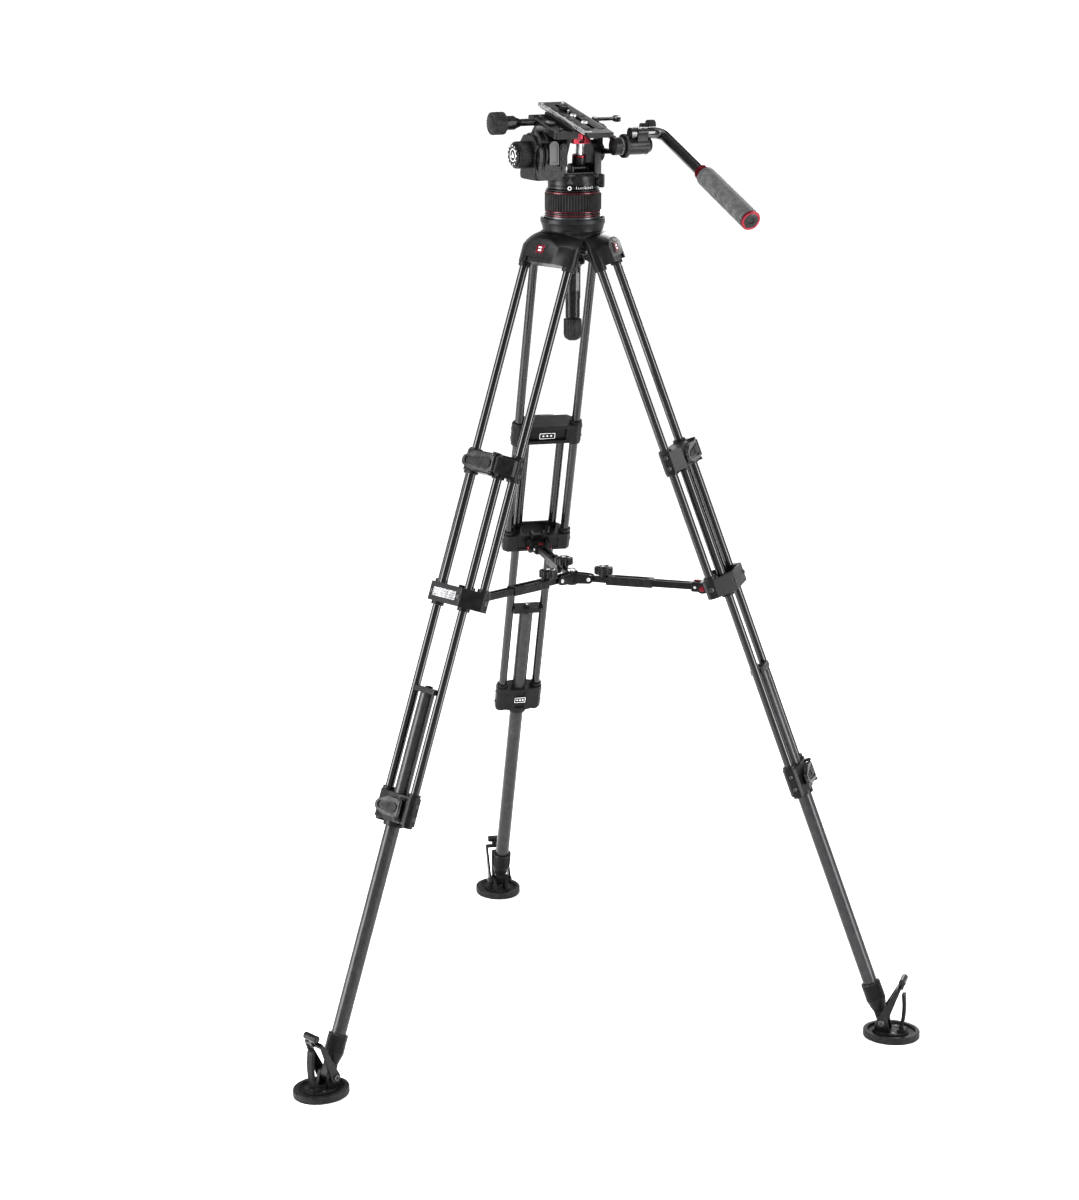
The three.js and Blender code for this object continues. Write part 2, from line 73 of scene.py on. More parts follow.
low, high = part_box("pan_drag_ring")
AXIS = ((low.x + high.x) / 2 / MM, (low.y + high.y) / 2 / MM, 0)


def shift(x, y, z):
    return Matrix.Translation((x, y, z))


def turn(axis, degrees):
    return Matrix.Rotation(RAD(degrees), 4, axis)


def add_object(name, data):
    made = bpy.data.objects.new(name, data)
    bpy.context.scene.collection.objects.link(made)
    return made


WORLD = shift(*AXIS)
LEG = {k: WORLD @ turn("Z", a) @ shift(HINGE_R, 0, HINGE_Z) @ turn("Y", -LEG_TILT)
       for k, a in LEG_AZIMUTH.items()}
FOOT = {k: WORLD @ turn("Z", a) @ shift(PAD_R, 0, PAD_Z) for k, a in LEG_AZIMUTH.items()}
ARM = {k: WORLD @ turn("Z", a) @ shift(0, 0, ARM_Z) for k, a in LEG_AZIMUTH.items()}
HEAD = WORLD @ turn("Z", HEAD_PAN)
TILT_FRAME = HEAD @ shift(0, 0, TILT_Z) @ turn("X", TILT_REST)
BAR = TILT_FRAME @ shift(0, *ROSETTE)
ROD = TILT_FRAME @ shift(PISTON_X, 0, CRANK) @ turn("X", -TILT_REST / 2)
CYLINDER = HEAD @ shift(PISTON_X, 0, TILT_Z - CRANK) @ turn("X", TILT_REST / 2)
BACK = -117.0                       # direction of the camera round the head

# ---- camera ---------------------------------------------------------------------------------
IMAGE_WIDTH, FOCAL_PIXELS, SENSOR = 1079, 2742.4, 36.0
CAMERA_TURN, CAMERA_DISTANCE, CAMERA_HEIGHT = -14.58, 4882.9, 2019
CAMERA_PITCH, CAMERA_YAW = 14.17, 0.696

lens = bpy.data.cameras.new("camera")
lens.sensor_fit = "HORIZONTAL"
lens.sensor_width = SENSOR
lens.lens = FOCAL_PIXELS / IMAGE_WIDTH * SENSOR
lens.clip_end = 100
camera = add_object("camera", lens)
placed = (WORLD @ turn("Z", CAMERA_TURN) @ shift(0, -CAMERA_DISTANCE, CAMERA_HEIGHT)
          @ turn("Z", CAMERA_YAW) @ turn("X", 90 - CAMERA_PITCH))
camera.matrix_world = shift(*(placed.translation * MM)) @ placed.to_3x3().to_4x4()
bpy.context.scene.camera = camera


# ---- materials ------------------------------------------------------------------------------
class Nodes:
    """Adds and links the nodes of a material or a world."""

    def __init__(self, owner):
        owner.use_nodes = True
        self.tree = owner.node_tree

    def fill(self, socket, value):
        if isinstance(value, bpy.types.NodeSocket):
            self.tree.links.new(value, socket)
        elif isinstance(value, tuple) and len(value) == 3 and socket.type == "RGBA":
            socket.default_value = (*value, 1)
        else:
            socket.default_value = value

    def node(self, kind, out=0, inputs=(), **settings):
        made = self.tree.nodes.new("ShaderNode" + kind)
        for key, value in settings.items():
            setattr(made, key, value)
        for key, value in dict(inputs).items():
            self.fill(made.inputs[key], value)
        return made.outputs[out]

    def math(self, operation, a, b=0.0, c=0.0):
        return self.node("Math", 0, {0: a, 1: b, 2: c}, operation=operation)

    def noise(self, where, scale, detail=3.0):
        return self.node("TexNoise", 0, {"Vector": where, "Scale": scale, "Detail": detail})

    def remap(self, value, start, end, low, high):
        return self.node("MapRange", 0, {"Value": value, "From Min": start, "From Max": end,
                                         "To Min": low, "To Max": high})

    def mix(self, factor, a, b):
        return self.node("MixRGB", 0, {"Fac": factor, "Color1": a, "Color2": b})


class Shader(Nodes):
    """The nodes of one new material, with values put on its Principled BSDF."""

    def __init__(self, name):
        self.material = bpy.data.materials.new(name)
        super().__init__(self.material)
        self.principled = self.tree.nodes["Principled BSDF"]

    def put(self, name, value):
        self.fill(self.principled.inputs[name], value)

    def bump(self, height, strength, distance):
        self.put("Normal", self.node("Bump", 0, {"Height": height, "Strength": strength,
                                                 "Distance": distance}))


def surface(name, base, roughness, metallic=0.0, grain=700.0, bump=0.2, spread=0.2, coat=0.0,
            edge_wear_and_highlight=0.5, stretch=(1, 1, 1), specular=0.5, drift=0.16):
    """Painted, moulded or machined surface with grain, drifting tone, and edges lightened partly as
    rubbed wear, partly as a painted highlight.
    """
    s = Shader(name)
    place = s.node("TexCoord", "Object")
    broad = s.noise(place, 16.0, 5.0)
    patch = s.noise(place, 90.0, 4.0)
    grainy = s.noise(s.node("Mapping", 0, {"Vector": place, "Scale": stretch}), grain)
    dark, pale = (tuple(c * scale for c in base) for scale in (1 - spread, 1 + spread))
    tone = s.mix(s.remap(broad, 0.3, 0.7, 0.0, 1.0), dark, pale)
    # Edges found by pointiness are lightened: partly rubbed wear, partly a painted highlight along
    # the edges.
    edge = s.remap(s.node("NewGeometry", "Pointiness"), 0.51, 0.58, 0.0, edge_wear_and_highlight)
    edge = s.math("MULTIPLY", edge, s.remap(patch, 0.4, 0.65, 0.15, 1.0))
    s.put("Base Color", s.mix(edge, tone, tuple(c * 2.2 + 0.03 for c in base)))
    s.put("Metallic", metallic)
    s.put("Roughness", s.remap(s.math("ADD", broad, patch), 0.7, 1.3, roughness * (1 - drift),
                               roughness * (1 + drift)))
    s.put("Specular IOR Level", specular)
    s.put("Coat Weight", coat)
    s.put("Coat Roughness", 0.06)
    s.bump(grainy, bump, 0.0004)
    return s.material


def carbon_weave(name, tow, base, roughness):
    """Twill of carbon tows under clear resin, laid out along the tube's own unwrapped surface."""
    s = Shader(name)
    flat = s.node("SeparateXYZ", 0, {0: s.node("UVMap")})
    along = flat.node.outputs[1]
    u, v = (s.math("DIVIDE", axis, tow) for axis in (flat, along))
    step = s.math("ADD", s.math("FLOOR", u), s.math("FLOOR", v))
    over = s.math("LESS_THAN", s.math("FLOORED_MODULO", step, 4.0), 2.0)
    crown_u, crown_v = (s.math("PINGPONG", axis, 0.5) for axis in (u, v))
    height = s.node("Mix", 0, {0: over, 2: crown_u, 3: crown_v})
    fibres = s.noise(s.node("TexCoord", "Object"), 1800.0)
    broad = s.noise(s.node("TexCoord", "Object"), 20.0, 4.0)
    tone = s.mix(over, tuple(c * 0.8 for c in base), tuple(c * 1.2 for c in base))
    s.put("Base Color", s.mix(s.remap(broad, 0.3, 0.7, 0.0, 0.2), tone, (0.006, 0.006, 0.0064)))
    s.put("Roughness", s.remap(over, 0.0, 1.0, roughness * 0.9, roughness * 1.1))
    s.put("Specular IOR Level", 0.1)
    s.put("Coat Weight", 0.8)
    s.put("Coat Roughness", 0.04)
    s.bump(s.math("ADD", height, s.math("MULTIPLY", fibres, 0.3)), 0.003, 0.0002)
    return s.material


BLACK = (0.004, 0.004, 0.0043)
CARBON = carbon_weave("carbon_weave", TOW_WIDTH, (0.003, 0.003, 0.0033), 0.3)
CASTING = surface("powder_coat", BLACK, 0.34, grain=1100, bump=0.3, edge_wear_and_highlight=0.25, specular=0.16)
HOUSING = surface("moulded_black", BLACK, 0.28, grain=1500, bump=0.2, edge_wear_and_highlight=0.35, specular=0.2)
LEVER = surface("lever_plastic", (0.006, 0.006, 0.0064), 0.26, grain=1300, bump=0.25, spread=0.1,
                edge_wear_and_highlight=0.8, specular=0.3)
LEVER_DARK = surface("lever_inset", BLACK, 0.45, grain=900, bump=0.5, specular=0.15)
RUBBER = surface("rubber", (0.006, 0.006, 0.006), 0.5, grain=600, bump=0.6, edge_wear_and_highlight=0.5,
                 specular=0.14)
GRIP = surface("grip_rubber", (0.042, 0.042, 0.043), 0.5, grain=420, bump=1.0, edge_wear_and_highlight=0.9,
               specular=0.3)
RED = surface("red_anodised", (0.115, 0.004, 0.011), 0.25, metallic=0.75, grain=900, bump=0.1)
GLOSS = surface("gloss_black", (0.005, 0.005, 0.0055), 0.2, grain=60, bump=0.04, coat=0.35,
                edge_wear_and_highlight=0.15)
STEEL = surface("brushed_steel", (0.5, 0.5, 0.51), 0.3, metallic=1.0, grain=1400, bump=0.15,
                spread=0.08, stretch=(1, 1, 0.05))
BLACK_STEEL = surface("blackened_steel", (0.05, 0.05, 0.052), 0.3, metallic=0.9, grain=1400,
                      bump=0.15, spread=0.15)
CHROME = surface("bright_plate", (0.3, 0.3, 0.31), 0.2, metallic=1.0, grain=300, bump=0.1,
                 spread=0.3)
MATTE_TUBE = surface("matte_tube", (0.02, 0.02, 0.021), 0.26, metallic=0.3, specular=0.3,
                     grain=1400, bump=0.06, spread=0.06, edge_wear_and_highlight=0.2, stretch=(1, 1, 0.1), drift=0.06)
RED_BAND = surface("dark_red_anodised", (0.035, 0.0016, 0.0045), 0.24, metallic=0.6, grain=900,
                   bump=0.1)
PANEL = surface("grey_panel", (0.015, 0.015, 0.016), 0.35, grain=1200, bump=0.3, spread=0.08)
MARK = surface("pale_mark", (0.6, 0.6, 0.6), 0.5, grain=900, bump=0.3, spread=0.06, edge_wear_and_highlight=0.1)


# ---- outlines -------------------------------------------------------------------------------
def circle(x, y, r, start=0, end=360, steps=48):
    closed = abs(end - start) >= 360
    count = steps if closed else max(3, int(steps * abs(end - start) / 360) + 1)
    last = count if closed else count - 1
    return [(x + r * math.cos(RAD(start + (end - start) * i / last)),
             y + r * math.sin(RAD(start + (end - start) * i / last))) for i in range(count)]


def oval(x, y, a, b, steps=64):
    return [(x + a * px, y + b * py) for px, py in circle(0, 0, 1, steps=steps)]


def rounded(points, radius, steps=5):
    """The closed polygon with each corner turned into an arc."""
    made = []
    for i, point in enumerate(points):
        p, q, r = Vector(points[i - 1]), Vector(point), Vector(points[(i + 1) % len(points)])
        a, b = (p - q), (r - q)
        half = a.angle(b) / 2
        cut = min(radius / math.tan(half), a.length * 0.45, b.length * 0.45)
        a, b = q + a.normalized() * cut, q + b.normalized() * cut
        made += [tuple(a.lerp(q, t).lerp(q.lerp(b, t), t))
                 for t in (k / steps for k in range(steps + 1))]
    return made


def box_outline(x0, x1, y0, y1, radius=0.0):
    corners = [(x0, y0), (x1, y0), (x1, y1), (x0, y1)]
    return rounded(corners, radius) if radius else corners


def hull(points):
    """Convex hull, anticlockwise."""
    points = sorted(set(points))

    def side(row):
        made = []
        for p in row:
            while len(made) > 1 and ((made[-1][0] - made[-2][0]) * (p[1] - made[-2][1])
                                     - (made[-1][1] - made[-2][1]) * (p[0] - made[-2][0])) <= 0:
                made.pop()
            made.append(p)
        return made[:-1]
    return side(points) + side(points[::-1])


def mirrored(half):
    """Outline from points (x, y >= 0), mirrored over y = 0."""
    return [(x, -y) for x, y in half] + [(x, y) for x, y in half[::-1]]


def flutes(radius, depth, count, steps=6):
    """Scalloped circle."""
    made = []
    for i in range(count * steps):
        r = radius - depth * (0.5 - 0.5 * math.cos(2 * math.pi * i / steps))
        a = 2 * math.pi * i / (count * steps)
        made.append((r * math.cos(a), r * math.sin(a)))
    return made


# ---- solids, in millimetres -----------------------------------------------------------------
AXES = {"X": Matrix(((0, 0, 1, 0), (1, 0, 0, 0), (0, 1, 0, 0), (0, 0, 0, 1))),
        "Y": Matrix(((1, 0, 0, 0), (0, 0, 1, 0), (0, 1, 0, 0), (0, 0, 0, 1))),
        "Z": Matrix.Identity(4)}


def settle(solid, axis):
    """Turns a solid drawn along Z to lie along the axis, with its faces outward."""
    bmesh.ops.transform(solid, matrix=AXES[axis], verts=solid.verts)
    bmesh.ops.recalc_face_normals(solid, faces=solid.faces)
    return solid


def prism(outline, start, end, axis="Z"):
    """Outline in (x, y), (y, z) or (x, z), drawn out along the axis left over."""
    solid = bmesh.new()
    rings = [[solid.verts.new((x, y, h)) for x, y in outline] for h in (start, end)]
    for i in range(len(outline)):
        j = (i + 1) % len(outline)
        solid.faces.new((rings[0][i], rings[0][j], rings[1][j], rings[1][i]))
    for ring in rings:
        solid.faces.new(ring)
    return settle(solid, axis)


def block(x0, x1, y0, y1, z0, z1, radius=0.0, axis="Z"):
    """Box, with its four edges along the axis rounded."""
    spans = {"X": (y0, y1, z0, z1, x0, x1), "Y": (x0, x1, z0, z1, y0, y1),
             "Z": (x0, x1, y0, y1, z0, z1)}[axis]
    return prism(box_outline(*spans[:4], radius), *spans[4:], axis)


def lathe(profile, facets=64, axis="Z", ring=False):
    """Points (radius, height) turned about the axis. A ring's profile closes on itself."""
    solid = bmesh.new()
    unwrapped = solid.loops.layers.uv.new("UVMap")
    rows = []
    for r, h in profile:
        if r < 1e-6:
            rows.append([solid.verts.new((0, 0, h))] * facets)
        else:
            rows.append([solid.verts.new((r * math.cos(2 * math.pi * i / facets),
                                          r * math.sin(2 * math.pi * i / facets), h))
                         for i in range(facets)])
    lengths = [0.0]
    for p, q in zip(profile, profile[1:]):
        lengths.append(lengths[-1] + math.dist(p, q))
    pairs = list(zip(range(len(rows)), range(1, len(rows))))
    if ring:
        pairs.append((len(rows) - 1, 0))
    for p, q in pairs:
        for i in range(facets):
            j = (i + 1) % facets
            corners = [(rows[p][i], i, p), (rows[p][j], i + 1, p), (rows[q][j], i + 1, q),
                       (rows[q][i], i, q)]
            kept = [c for k, c in enumerate(corners) if c[0] is not corners[k - 1][0]]
            face = solid.faces.new([c[0] for c in kept])
            for loop, (_, step, row) in zip(face.loops, kept):
                around = step / facets * 2 * math.pi * max(profile[p][0], profile[q][0])
                loop[unwrapped].uv = (around * MM, lengths[row] * MM)
    for row, end in ((rows[0], profile[0]), (rows[-1], profile[-1])):
        if not ring and end[0] > 1e-6:
            solid.faces.new(row)
    return settle(solid, axis)


def tube(radius, bore, start, end, facets=48, axis="Z", lip=0.6):
    return lathe([(bore, start), (radius - lip, start), (radius, start + lip),
                  (radius, end - lip), (radius - lip, end), (bore, end)], facets, axis, True)


def rod(radius, start, end, facets=40, axis="Z", lip=0.8):
    return lathe([(0, start), (radius - lip, start), (radius, start + lip),
                  (radius, end - lip), (radius - lip, end), (0, end)], facets, axis)


def sweep(path, section):
    """A closed (across, up) section carried along a path of points."""
    solid = bmesh.new()
    path = [Vector(p) for p in path]
    rings = []
    side = None
    for i, point in enumerate(path):
        ahead = (path[min(i + 1, len(path) - 1)] - path[max(i - 1, 0)]).normalized()
        if side is None:
            side = ahead.cross(Vector((0, 0, 1)) if abs(ahead.z) < 0.9 else Vector((0, 1, 0)))
        side = (side - ahead * side.dot(ahead)).normalized()
        up = side.cross(ahead)
        rings.append([solid.verts.new(point + side * a + up * b) for a, b in section])
    for p, q in zip(rings, rings[1:]):
        for i in range(len(section)):
            j = (i + 1) % len(section)
            solid.faces.new((p[i], p[j], q[j], q[i]))
    for ring in (rings[0], rings[-1]):
        solid.faces.new(ring)
    return settle(solid, "Z")


def cap(radius, base, height, axis="Z"):
    """Cap screw head standing on the base, with a socket in its top. Height may be negative."""
    top = base + height
    return lathe([(0, base), (radius, base), (radius, base + height * 0.75),
                  (radius * 0.88, top), (radius * 0.5, top), (radius * 0.46, base + height * 0.4),
                  (0, base + height * 0.4)], 32, axis)


def carried(solid, matrix):
    bmesh.ops.transform(solid, matrix=matrix, verts=solid.verts)
    return solid


def moved(solid, x=0.0, y=0.0, z=0.0):
    bmesh.ops.translate(solid, vec=(x, y, z), verts=solid.verts)
    return solid


def both(make):
    """The solids made for each side, positive and negative."""
    return [solid for side in (1, -1) for solid in make(side)]


def lug(x, y, radius, root, start, end, axis="Y", steps=40):
    """Plate with a round end about (x, y) and straight flanks down to the two root points."""
    return prism(hull(circle(x, y, radius, steps=steps) + root), start, end, axis)


# ---- pieces ---------------------------------------------------------------------------------
def to_object(solid):
    mesh = bpy.data.meshes.new("solid")
    solid.to_mesh(mesh)
    solid.free()
    return add_object("solid", mesh)


def evaluated(thing):
    """The object's mesh with its modifiers applied; the object is removed."""
    graph = bpy.context.evaluated_depsgraph_get()
    mesh = bpy.data.meshes.new_from_object(thing.evaluated_get(graph))
    bpy.data.objects.remove(thing)
    return mesh


def shaped(solid, cuts=(), bevel=0.0, within=None):
    """The solid inside the one given, with the cuts taken out and its sharp edges rounded."""
    if cuts or bevel or within:
        thing = to_object(solid)
        tools = [to_object(cut) for cut in cuts]
        if within:
            tools.append(to_object(within))
        for tool in tools:
            modifier = thing.modifiers.new("cut", "BOOLEAN")
            inside = within and tool is tools[-1]
            modifier.operation = "INTERSECT" if inside else "DIFFERENCE"
            modifier.solver, modifier.object = "EXACT", tool
        if bevel:
            modifier = thing.modifiers.new("edges", "BEVEL")
            modifier.width, modifier.segments = bevel, 2
            modifier.limit_method, modifier.angle_limit = "ANGLE", RAD(EDGE_ANGLE)
        mesh = evaluated(thing)
        for tool in tools:
            bpy.data.objects.remove(tool)
        solid = bmesh.new()
        solid.from_mesh(mesh)
        bpy.data.meshes.remove(mesh)
    return solid


def soften(solid, bevel):
    return shaped(solid, bevel=bevel)


def piece(name, body, place, material, solids, replaces=()):
    """One piece of the object: solids in millimetres, in the place's own axes."""
    mesh = bpy.data.meshes.new(name)
    whole = bmesh.new()
    for solid in solids:
        part = bpy.data.meshes.new("part")
        solid.to_mesh(part)
        solid.free()
        whole.from_mesh(part)
        bpy.data.meshes.remove(part)
    bmesh.ops.transform(whole, matrix=Matrix.Scale(MM, 4) @ place, verts=whole.verts)
    whole.to_mesh(mesh)
    whole.free()
    mesh.shade_smooth()
    mesh.set_sharp_from_angle(angle=RAD(SHARP_ANGLE))
    made = add_object(name, mesh)
    modifier = made.modifiers.new("shading", "WEIGHTED_NORMAL")
    modifier.keep_sharp = True
    mesh.materials.append(material)
    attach(made, body)
    if replaces:
        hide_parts(*replaces)


def riding(body, place):
    """Makes pieces that ride on one body, drawn in one place."""
    def build(name, material, solids, replaces=()):
        piece(name, body, place, material, solids, replaces)
    return build


def builder(prefix, place):
    """Makes pieces in one place, whose names and replaced nodes all start with the prefix."""
    def build(part, body, material, solids, replaces=()):
        piece(prefix + part, body, place, material, solids, [prefix + node for node in replaces])
    return build


# ---- legs -----------------------------------------------------------------------------------
def clamp_rims(x, y, start, end, radius=11.2):
    """Raised collars round both tubes of a pair where they enter a casting."""
    return both(lambda s: [moved(tube(radius, TUBE_R + 0.2, start, end), x, s * y)])


def lever(name, place, face, half, middle, reach):
    """Flip lever lying flat on a clamp, its face away from the leg."""
    low, high, edge, top = middle - 16.5, middle + 16.5, half - PIN_INSET, face + LEVER_DEPTH
    outline = hull(circle(10 - reach, middle - 2, 10, 90, 270)
                   + circle(edge - 6, high - 6, 6, 0, 90) + circle(edge - 6, low + 6, 6, 270, 360)
                   + [(28 - reach, high), (24 - reach, low)])
    dish = prism(hull(circle(13 - reach, middle - 1.5, 6.5, 90, 270)
                      + circle(edge - 10, middle, 11, -90, 90)), top - 2.4, top + 2, "X")
    nail = prism(box_outline(-reach - 2, 5 - reach, middle - 9, middle + 9, 3), face - 1,
                 face + 2.6, "X")
    plate = shaped(prism(outline, face, top, "X"), [dish, nail], 1.3)
    barrel = [moved(rod(radius, low + inset, high - inset), face + PIN_INSET, edge)
              for radius, inset in ((3.7, 2), (2.1, -4.6))]
    piece(name + "_shell", name, place, LEVER, [plate, *barrel], [name])
    pad = soften(prism(hull(circle(17 - reach, middle - 1, 4, 90, 270)
                            + circle(edge - 13, middle, 8.6, -90, 90)),
                       top - 2.8, top - 0.7, "X"), 0.5)
    ribs = [block(top - 1.1, top - 0.3, y - 0.7, y + 0.7, middle - 5, middle + 5, 0.5, "X")
            for y in (-2, 1.5, 5)]
    piece(name + "_inset", name, place, LEVER_DARK, [pad, *ribs])


def knuckles(face, half, middle, back):
    """The clamp's two hinge eyes above and below a lever, reaching back into the casting."""
    x, y = face + PIN_INSET, half - PIN_INSET
    return [shaped(lug(x, y, 4.2, [(back, y - 8), (back, y + 5)], start, start + 4.4, "Z", 32),
                   [moved(rod(2.3, start - 2, start + 7), x, y)], 0.5)
            for start in (middle + 16.8, middle - 21.2)]


def label(build, part, body, x, z, half):
    """Small inward plate with a pale frame and three plain marks."""
    outer = box_outline(-half, half, z - 6, z + 6, 1.5)
    inner = box_outline(0.9 - half, half - 0.9, z - 5.1, z + 5.1, 1)
    frame_line = shaped(prism(outer, x - 0.8, x, "X"), [prism(inner, x - 2, x + 1, "X")])
    dots = [moved(rod(1.7, x - 0.8, x, 20, "X", 0.1), 0, step * half, z)
            for step in (-0.5, 0.0, 0.5)]
    build(part, body, MARK, [frame_line, *dots])
    build(part + "_plate", body, LEVER_DARK, [prism(outer, x - 0.4, x + 1, "X")])


SKIRT = [(0, 1390), (112, 1390), (110, 1414), (106, 1422), (98, 1424.5), (94.5, 1430),
         (89.5, 1438), (83, 1446), (75, 1453), (66, 1458.5), (57, 1462), (50, 1463.5), (0, 1464)]


def leg(k):
    place, name = LEG[k], f"leg_{k}_"
    build = builder(name, place)
    upper, middle, lower = name + "upper", name + "middle", name + "lower"

    dome = carried(lathe(SKIRT, 96), (shift(HINGE_R, 0, HINGE_Z) @ turn("Y", -LEG_TILT)).inverted())
    outline = hull([(24, 38), (24, -38)] + circle(0, UPPER_Y, 12.4) + circle(0, -UPPER_Y, 12.4))
    yoke = shaped(prism(outline, -36, 19), [block(-7.5, 14, -20.5, 20.5, -16, 16),
                                            block(21, 30, -32, 32, -37, -27)], 1.6, dome)
    badge_seat = prism(rounded([(-19, -22), (14, -22), (18, -2), (-15, -2)], 3), 23, 24.8, "X")
    build("yoke_casting", upper, CASTING,
          [yoke, soften(badge_seat, 0.5)] + clamp_rims(0, UPPER_Y, -43, -35.5), ["yoke"])
    badge = prism(rounded([(-11, -20), (8, -20), (10, -5), (-9, -5)], 2), 24.4, 25.6, "X")
    build("yoke_badge", upper, RED, [soften(badge, 0.4)])
    build("yoke_badge_mark", upper, MARK,
          [soften(prism(box_outline(-4.5, 3.5, z - 1.3, z + 1.3, 0.6), 25.3, 26, "X"), 0.2)
           for z in (-15, -10)])

    for side, sign in (("left", 1), ("right", -1)):
        build("upper_carbon_" + side, upper, CARBON,
              [moved(tube(TUBE_R, TUBE_BORE, -655, -14), 0, sign * UPPER_Y)],
              ["upper_tube_" + side])
        build("middle_carbon_" + side, middle, CARBON,
              [moved(tube(TUBE_R, TUBE_BORE, -1044, -386), MID_X, sign * MID_Y)],
              ["middle_tube_" + side])

    outline = rounded(mirrored([(38, 40), (6, 66), (-8, 66), (-15, 58)]), 6)
    body = shaped(prism(outline, -658, -624), [block(-4, 33, -29, 29, -660, -622, 4),
                                               block(-20, -13, -40, 40, -652, -630)], 1.5)
    boss = shaped(block(-20, -3, -14, 14, -630, -619, 2), [block(-16, 9, -9, 9, -640, -610)], 1.0)
    ears = both(lambda s: [soften(lug(ARM_X, -ARM_S, 9.6, [(-14, -652), (-14, -630)],
                                      *sorted((s * 14, s * 21)), steps=32), 0.8)])
    build("bracket_casting", upper, CASTING,
          [body, boss, *ears, *clamp_rims(0, UPPER_Y, -624.5, -618, 11.5),
           *clamp_rims(MID_X, MID_Y, -664, -657.5, 11.5)], ["bracket"])
    if k == "a":
        grooves = [prism(box_outline(y0, y1, z - 1.1, z + 1.1, 0.9), 38.7, 40, "X")
                   for z in (-645, -641, -637) for y0, y1 in ((-26, -14), (-11, 8), (11, 24))]
        build("bracket_plate", upper, CHROME,
              [shaped(prism(box_outline(-30, 28, -649, -633, 2), 37.6, 39.2, "X"), grooves, 0.4)])
    build("bracket_screws", upper, BLACK_STEEL,
          both(lambda s: [moved(cap(3.4, 0, 2.0, "X"), 38, s * 34.5, -ARM_S)])
          + both(lambda s: [moved(cap(4.4, s * 65.6, s * 2.2, "Y"), -1, 0, -ARM_S)])
          + [moved(rod(2.9, -21.5, 21.5, axis="Y"), ARM_X, 0, -ARM_S)])
    build("bracket_buttons", upper, RED,
          both(lambda s: [moved(rod(5.2, *sorted((s * 21, s * 23.4)), axis="Y"), ARM_X, 0,
                                -ARM_S)]))

    outline = rounded(mirrored([(29, 44), (8, 67), (-6, 67), (-13, 56)]), 6)
    slits = both(lambda s: [block(-14, 2, *sorted((s * 66, s * 70)), -402, -400)])
    body = shaped(prism(outline, -420, -382), [block(-16, -8, -36, 36, -413, -389), *slits], 1.8)
    wedge = [(28, 35.5), (36, 35.5), (36.5, 41), (17, 64), (9, 66), (20, 50)]
    build("upper_clamp_casting", middle, CASTING,
          [body, soften(prism(wedge, -416, -386), 1.4), *knuckles(*UPPER_CLAMP, 22),
           *clamp_rims(0, UPPER_Y, -382.5, -377.5, 11.8),
           *clamp_rims(0, UPPER_Y, -424.5, -419.5, 11.8),
           *clamp_rims(MID_X, MID_Y, -424.5, -419.5, 11.2)], ["upper_clamp"])
    build("upper_clamp_screws", middle, BLACK_STEEL,
          both(lambda s: [moved(cap(3.6, s * 66.6, s * 2.0, "Y"), 1, 0, z) for z in (-391, -411)]))
    label(build, "upper_clamp_label", middle, -8.2, -405, 15)
    lever(name + "upper_lever", place, *UPPER_CLAMP, 46)

    outline = rounded(mirrored([(35, 14), (29, 40), (23, 46), (10, 46), (4, 40), (-2, 14)]), 5)
    slits = both(lambda s: [block(0, 34, s * 30.5 - 0.5, s * 30.5 + 0.5, -1052, -1044)])
    body = shaped(prism(outline, -1051, -1001), [block(-4, 0.5, -9, 9, -1045, -1007), *slits], 1.8)
    build("lower_clamp_casting", middle, CASTING,
          [body, *knuckles(*LOWER_CLAMP, 26), *clamp_rims(MID_X, MID_Y, -1001.5, -995, 11.5),
           *clamp_rims(MID_X, MID_Y, -1056, -1050.5, 10.5),
           moved(tube(18.5, LOWER_R + 0.3, -1060, -1050.5), MID_X)], ["lower_clamp"])
    build("lower_clamp_screws", middle, BLACK_STEEL,
          both(lambda s: [moved(cap(3.4, s * 45.6, s * 2.0, "Y"), MID_X, 0, z)
                          for z in (-1014, -1038)]))
    label(build, "lower_clamp_label", middle, -1.8, -1026, 11)
    lever(name + "lower_lever", place, *LOWER_CLAMP, 32)

    build("lower_tube_shell", lower, MATTE_TUBE,
          [moved(tube(LOWER_R, 11.5, -1442, -819), MID_X)], ["lower_leg"])
    slider = shaped(prism(box_outline(4, 29, -30, 30, 6), -819, -809),
                    both(lambda s: [moved(rod(8.5, -830, -800), MID_X, s * MID_Y)]), 1.2)
    crest = moved(lathe([(0, -810), (7, -810), (7, -807), (6, -805.6), (0, -805)]), MID_X)
    ribs = [(18.4 if i % 2 else 17.6, -1441 - 3.2 * (i // 2) - (0.5 if i % 2 else 0))
            for i in range(18)]
    socket = lathe([(LOWER_R + 0.1, -1436), (17, -1436), (18.4, -1438)] + ribs
                   + [(18.4, -1468), (17.6, -1472), (13.5, -1488), (12, -1491), (0, -1491)])
    tongue = soften(lug(MID_X, -PAD_S, 10, [(6.5, -1486), (26.5, -1486)], -9, 9), 1.0)
    build("slider_and_socket", lower, CASTING, [slider, crest, moved(socket, MID_X), tongue])
    build("slider_pin", lower, STEEL, [moved(cap(2.6, -805.2, 1.2), MID_X)])


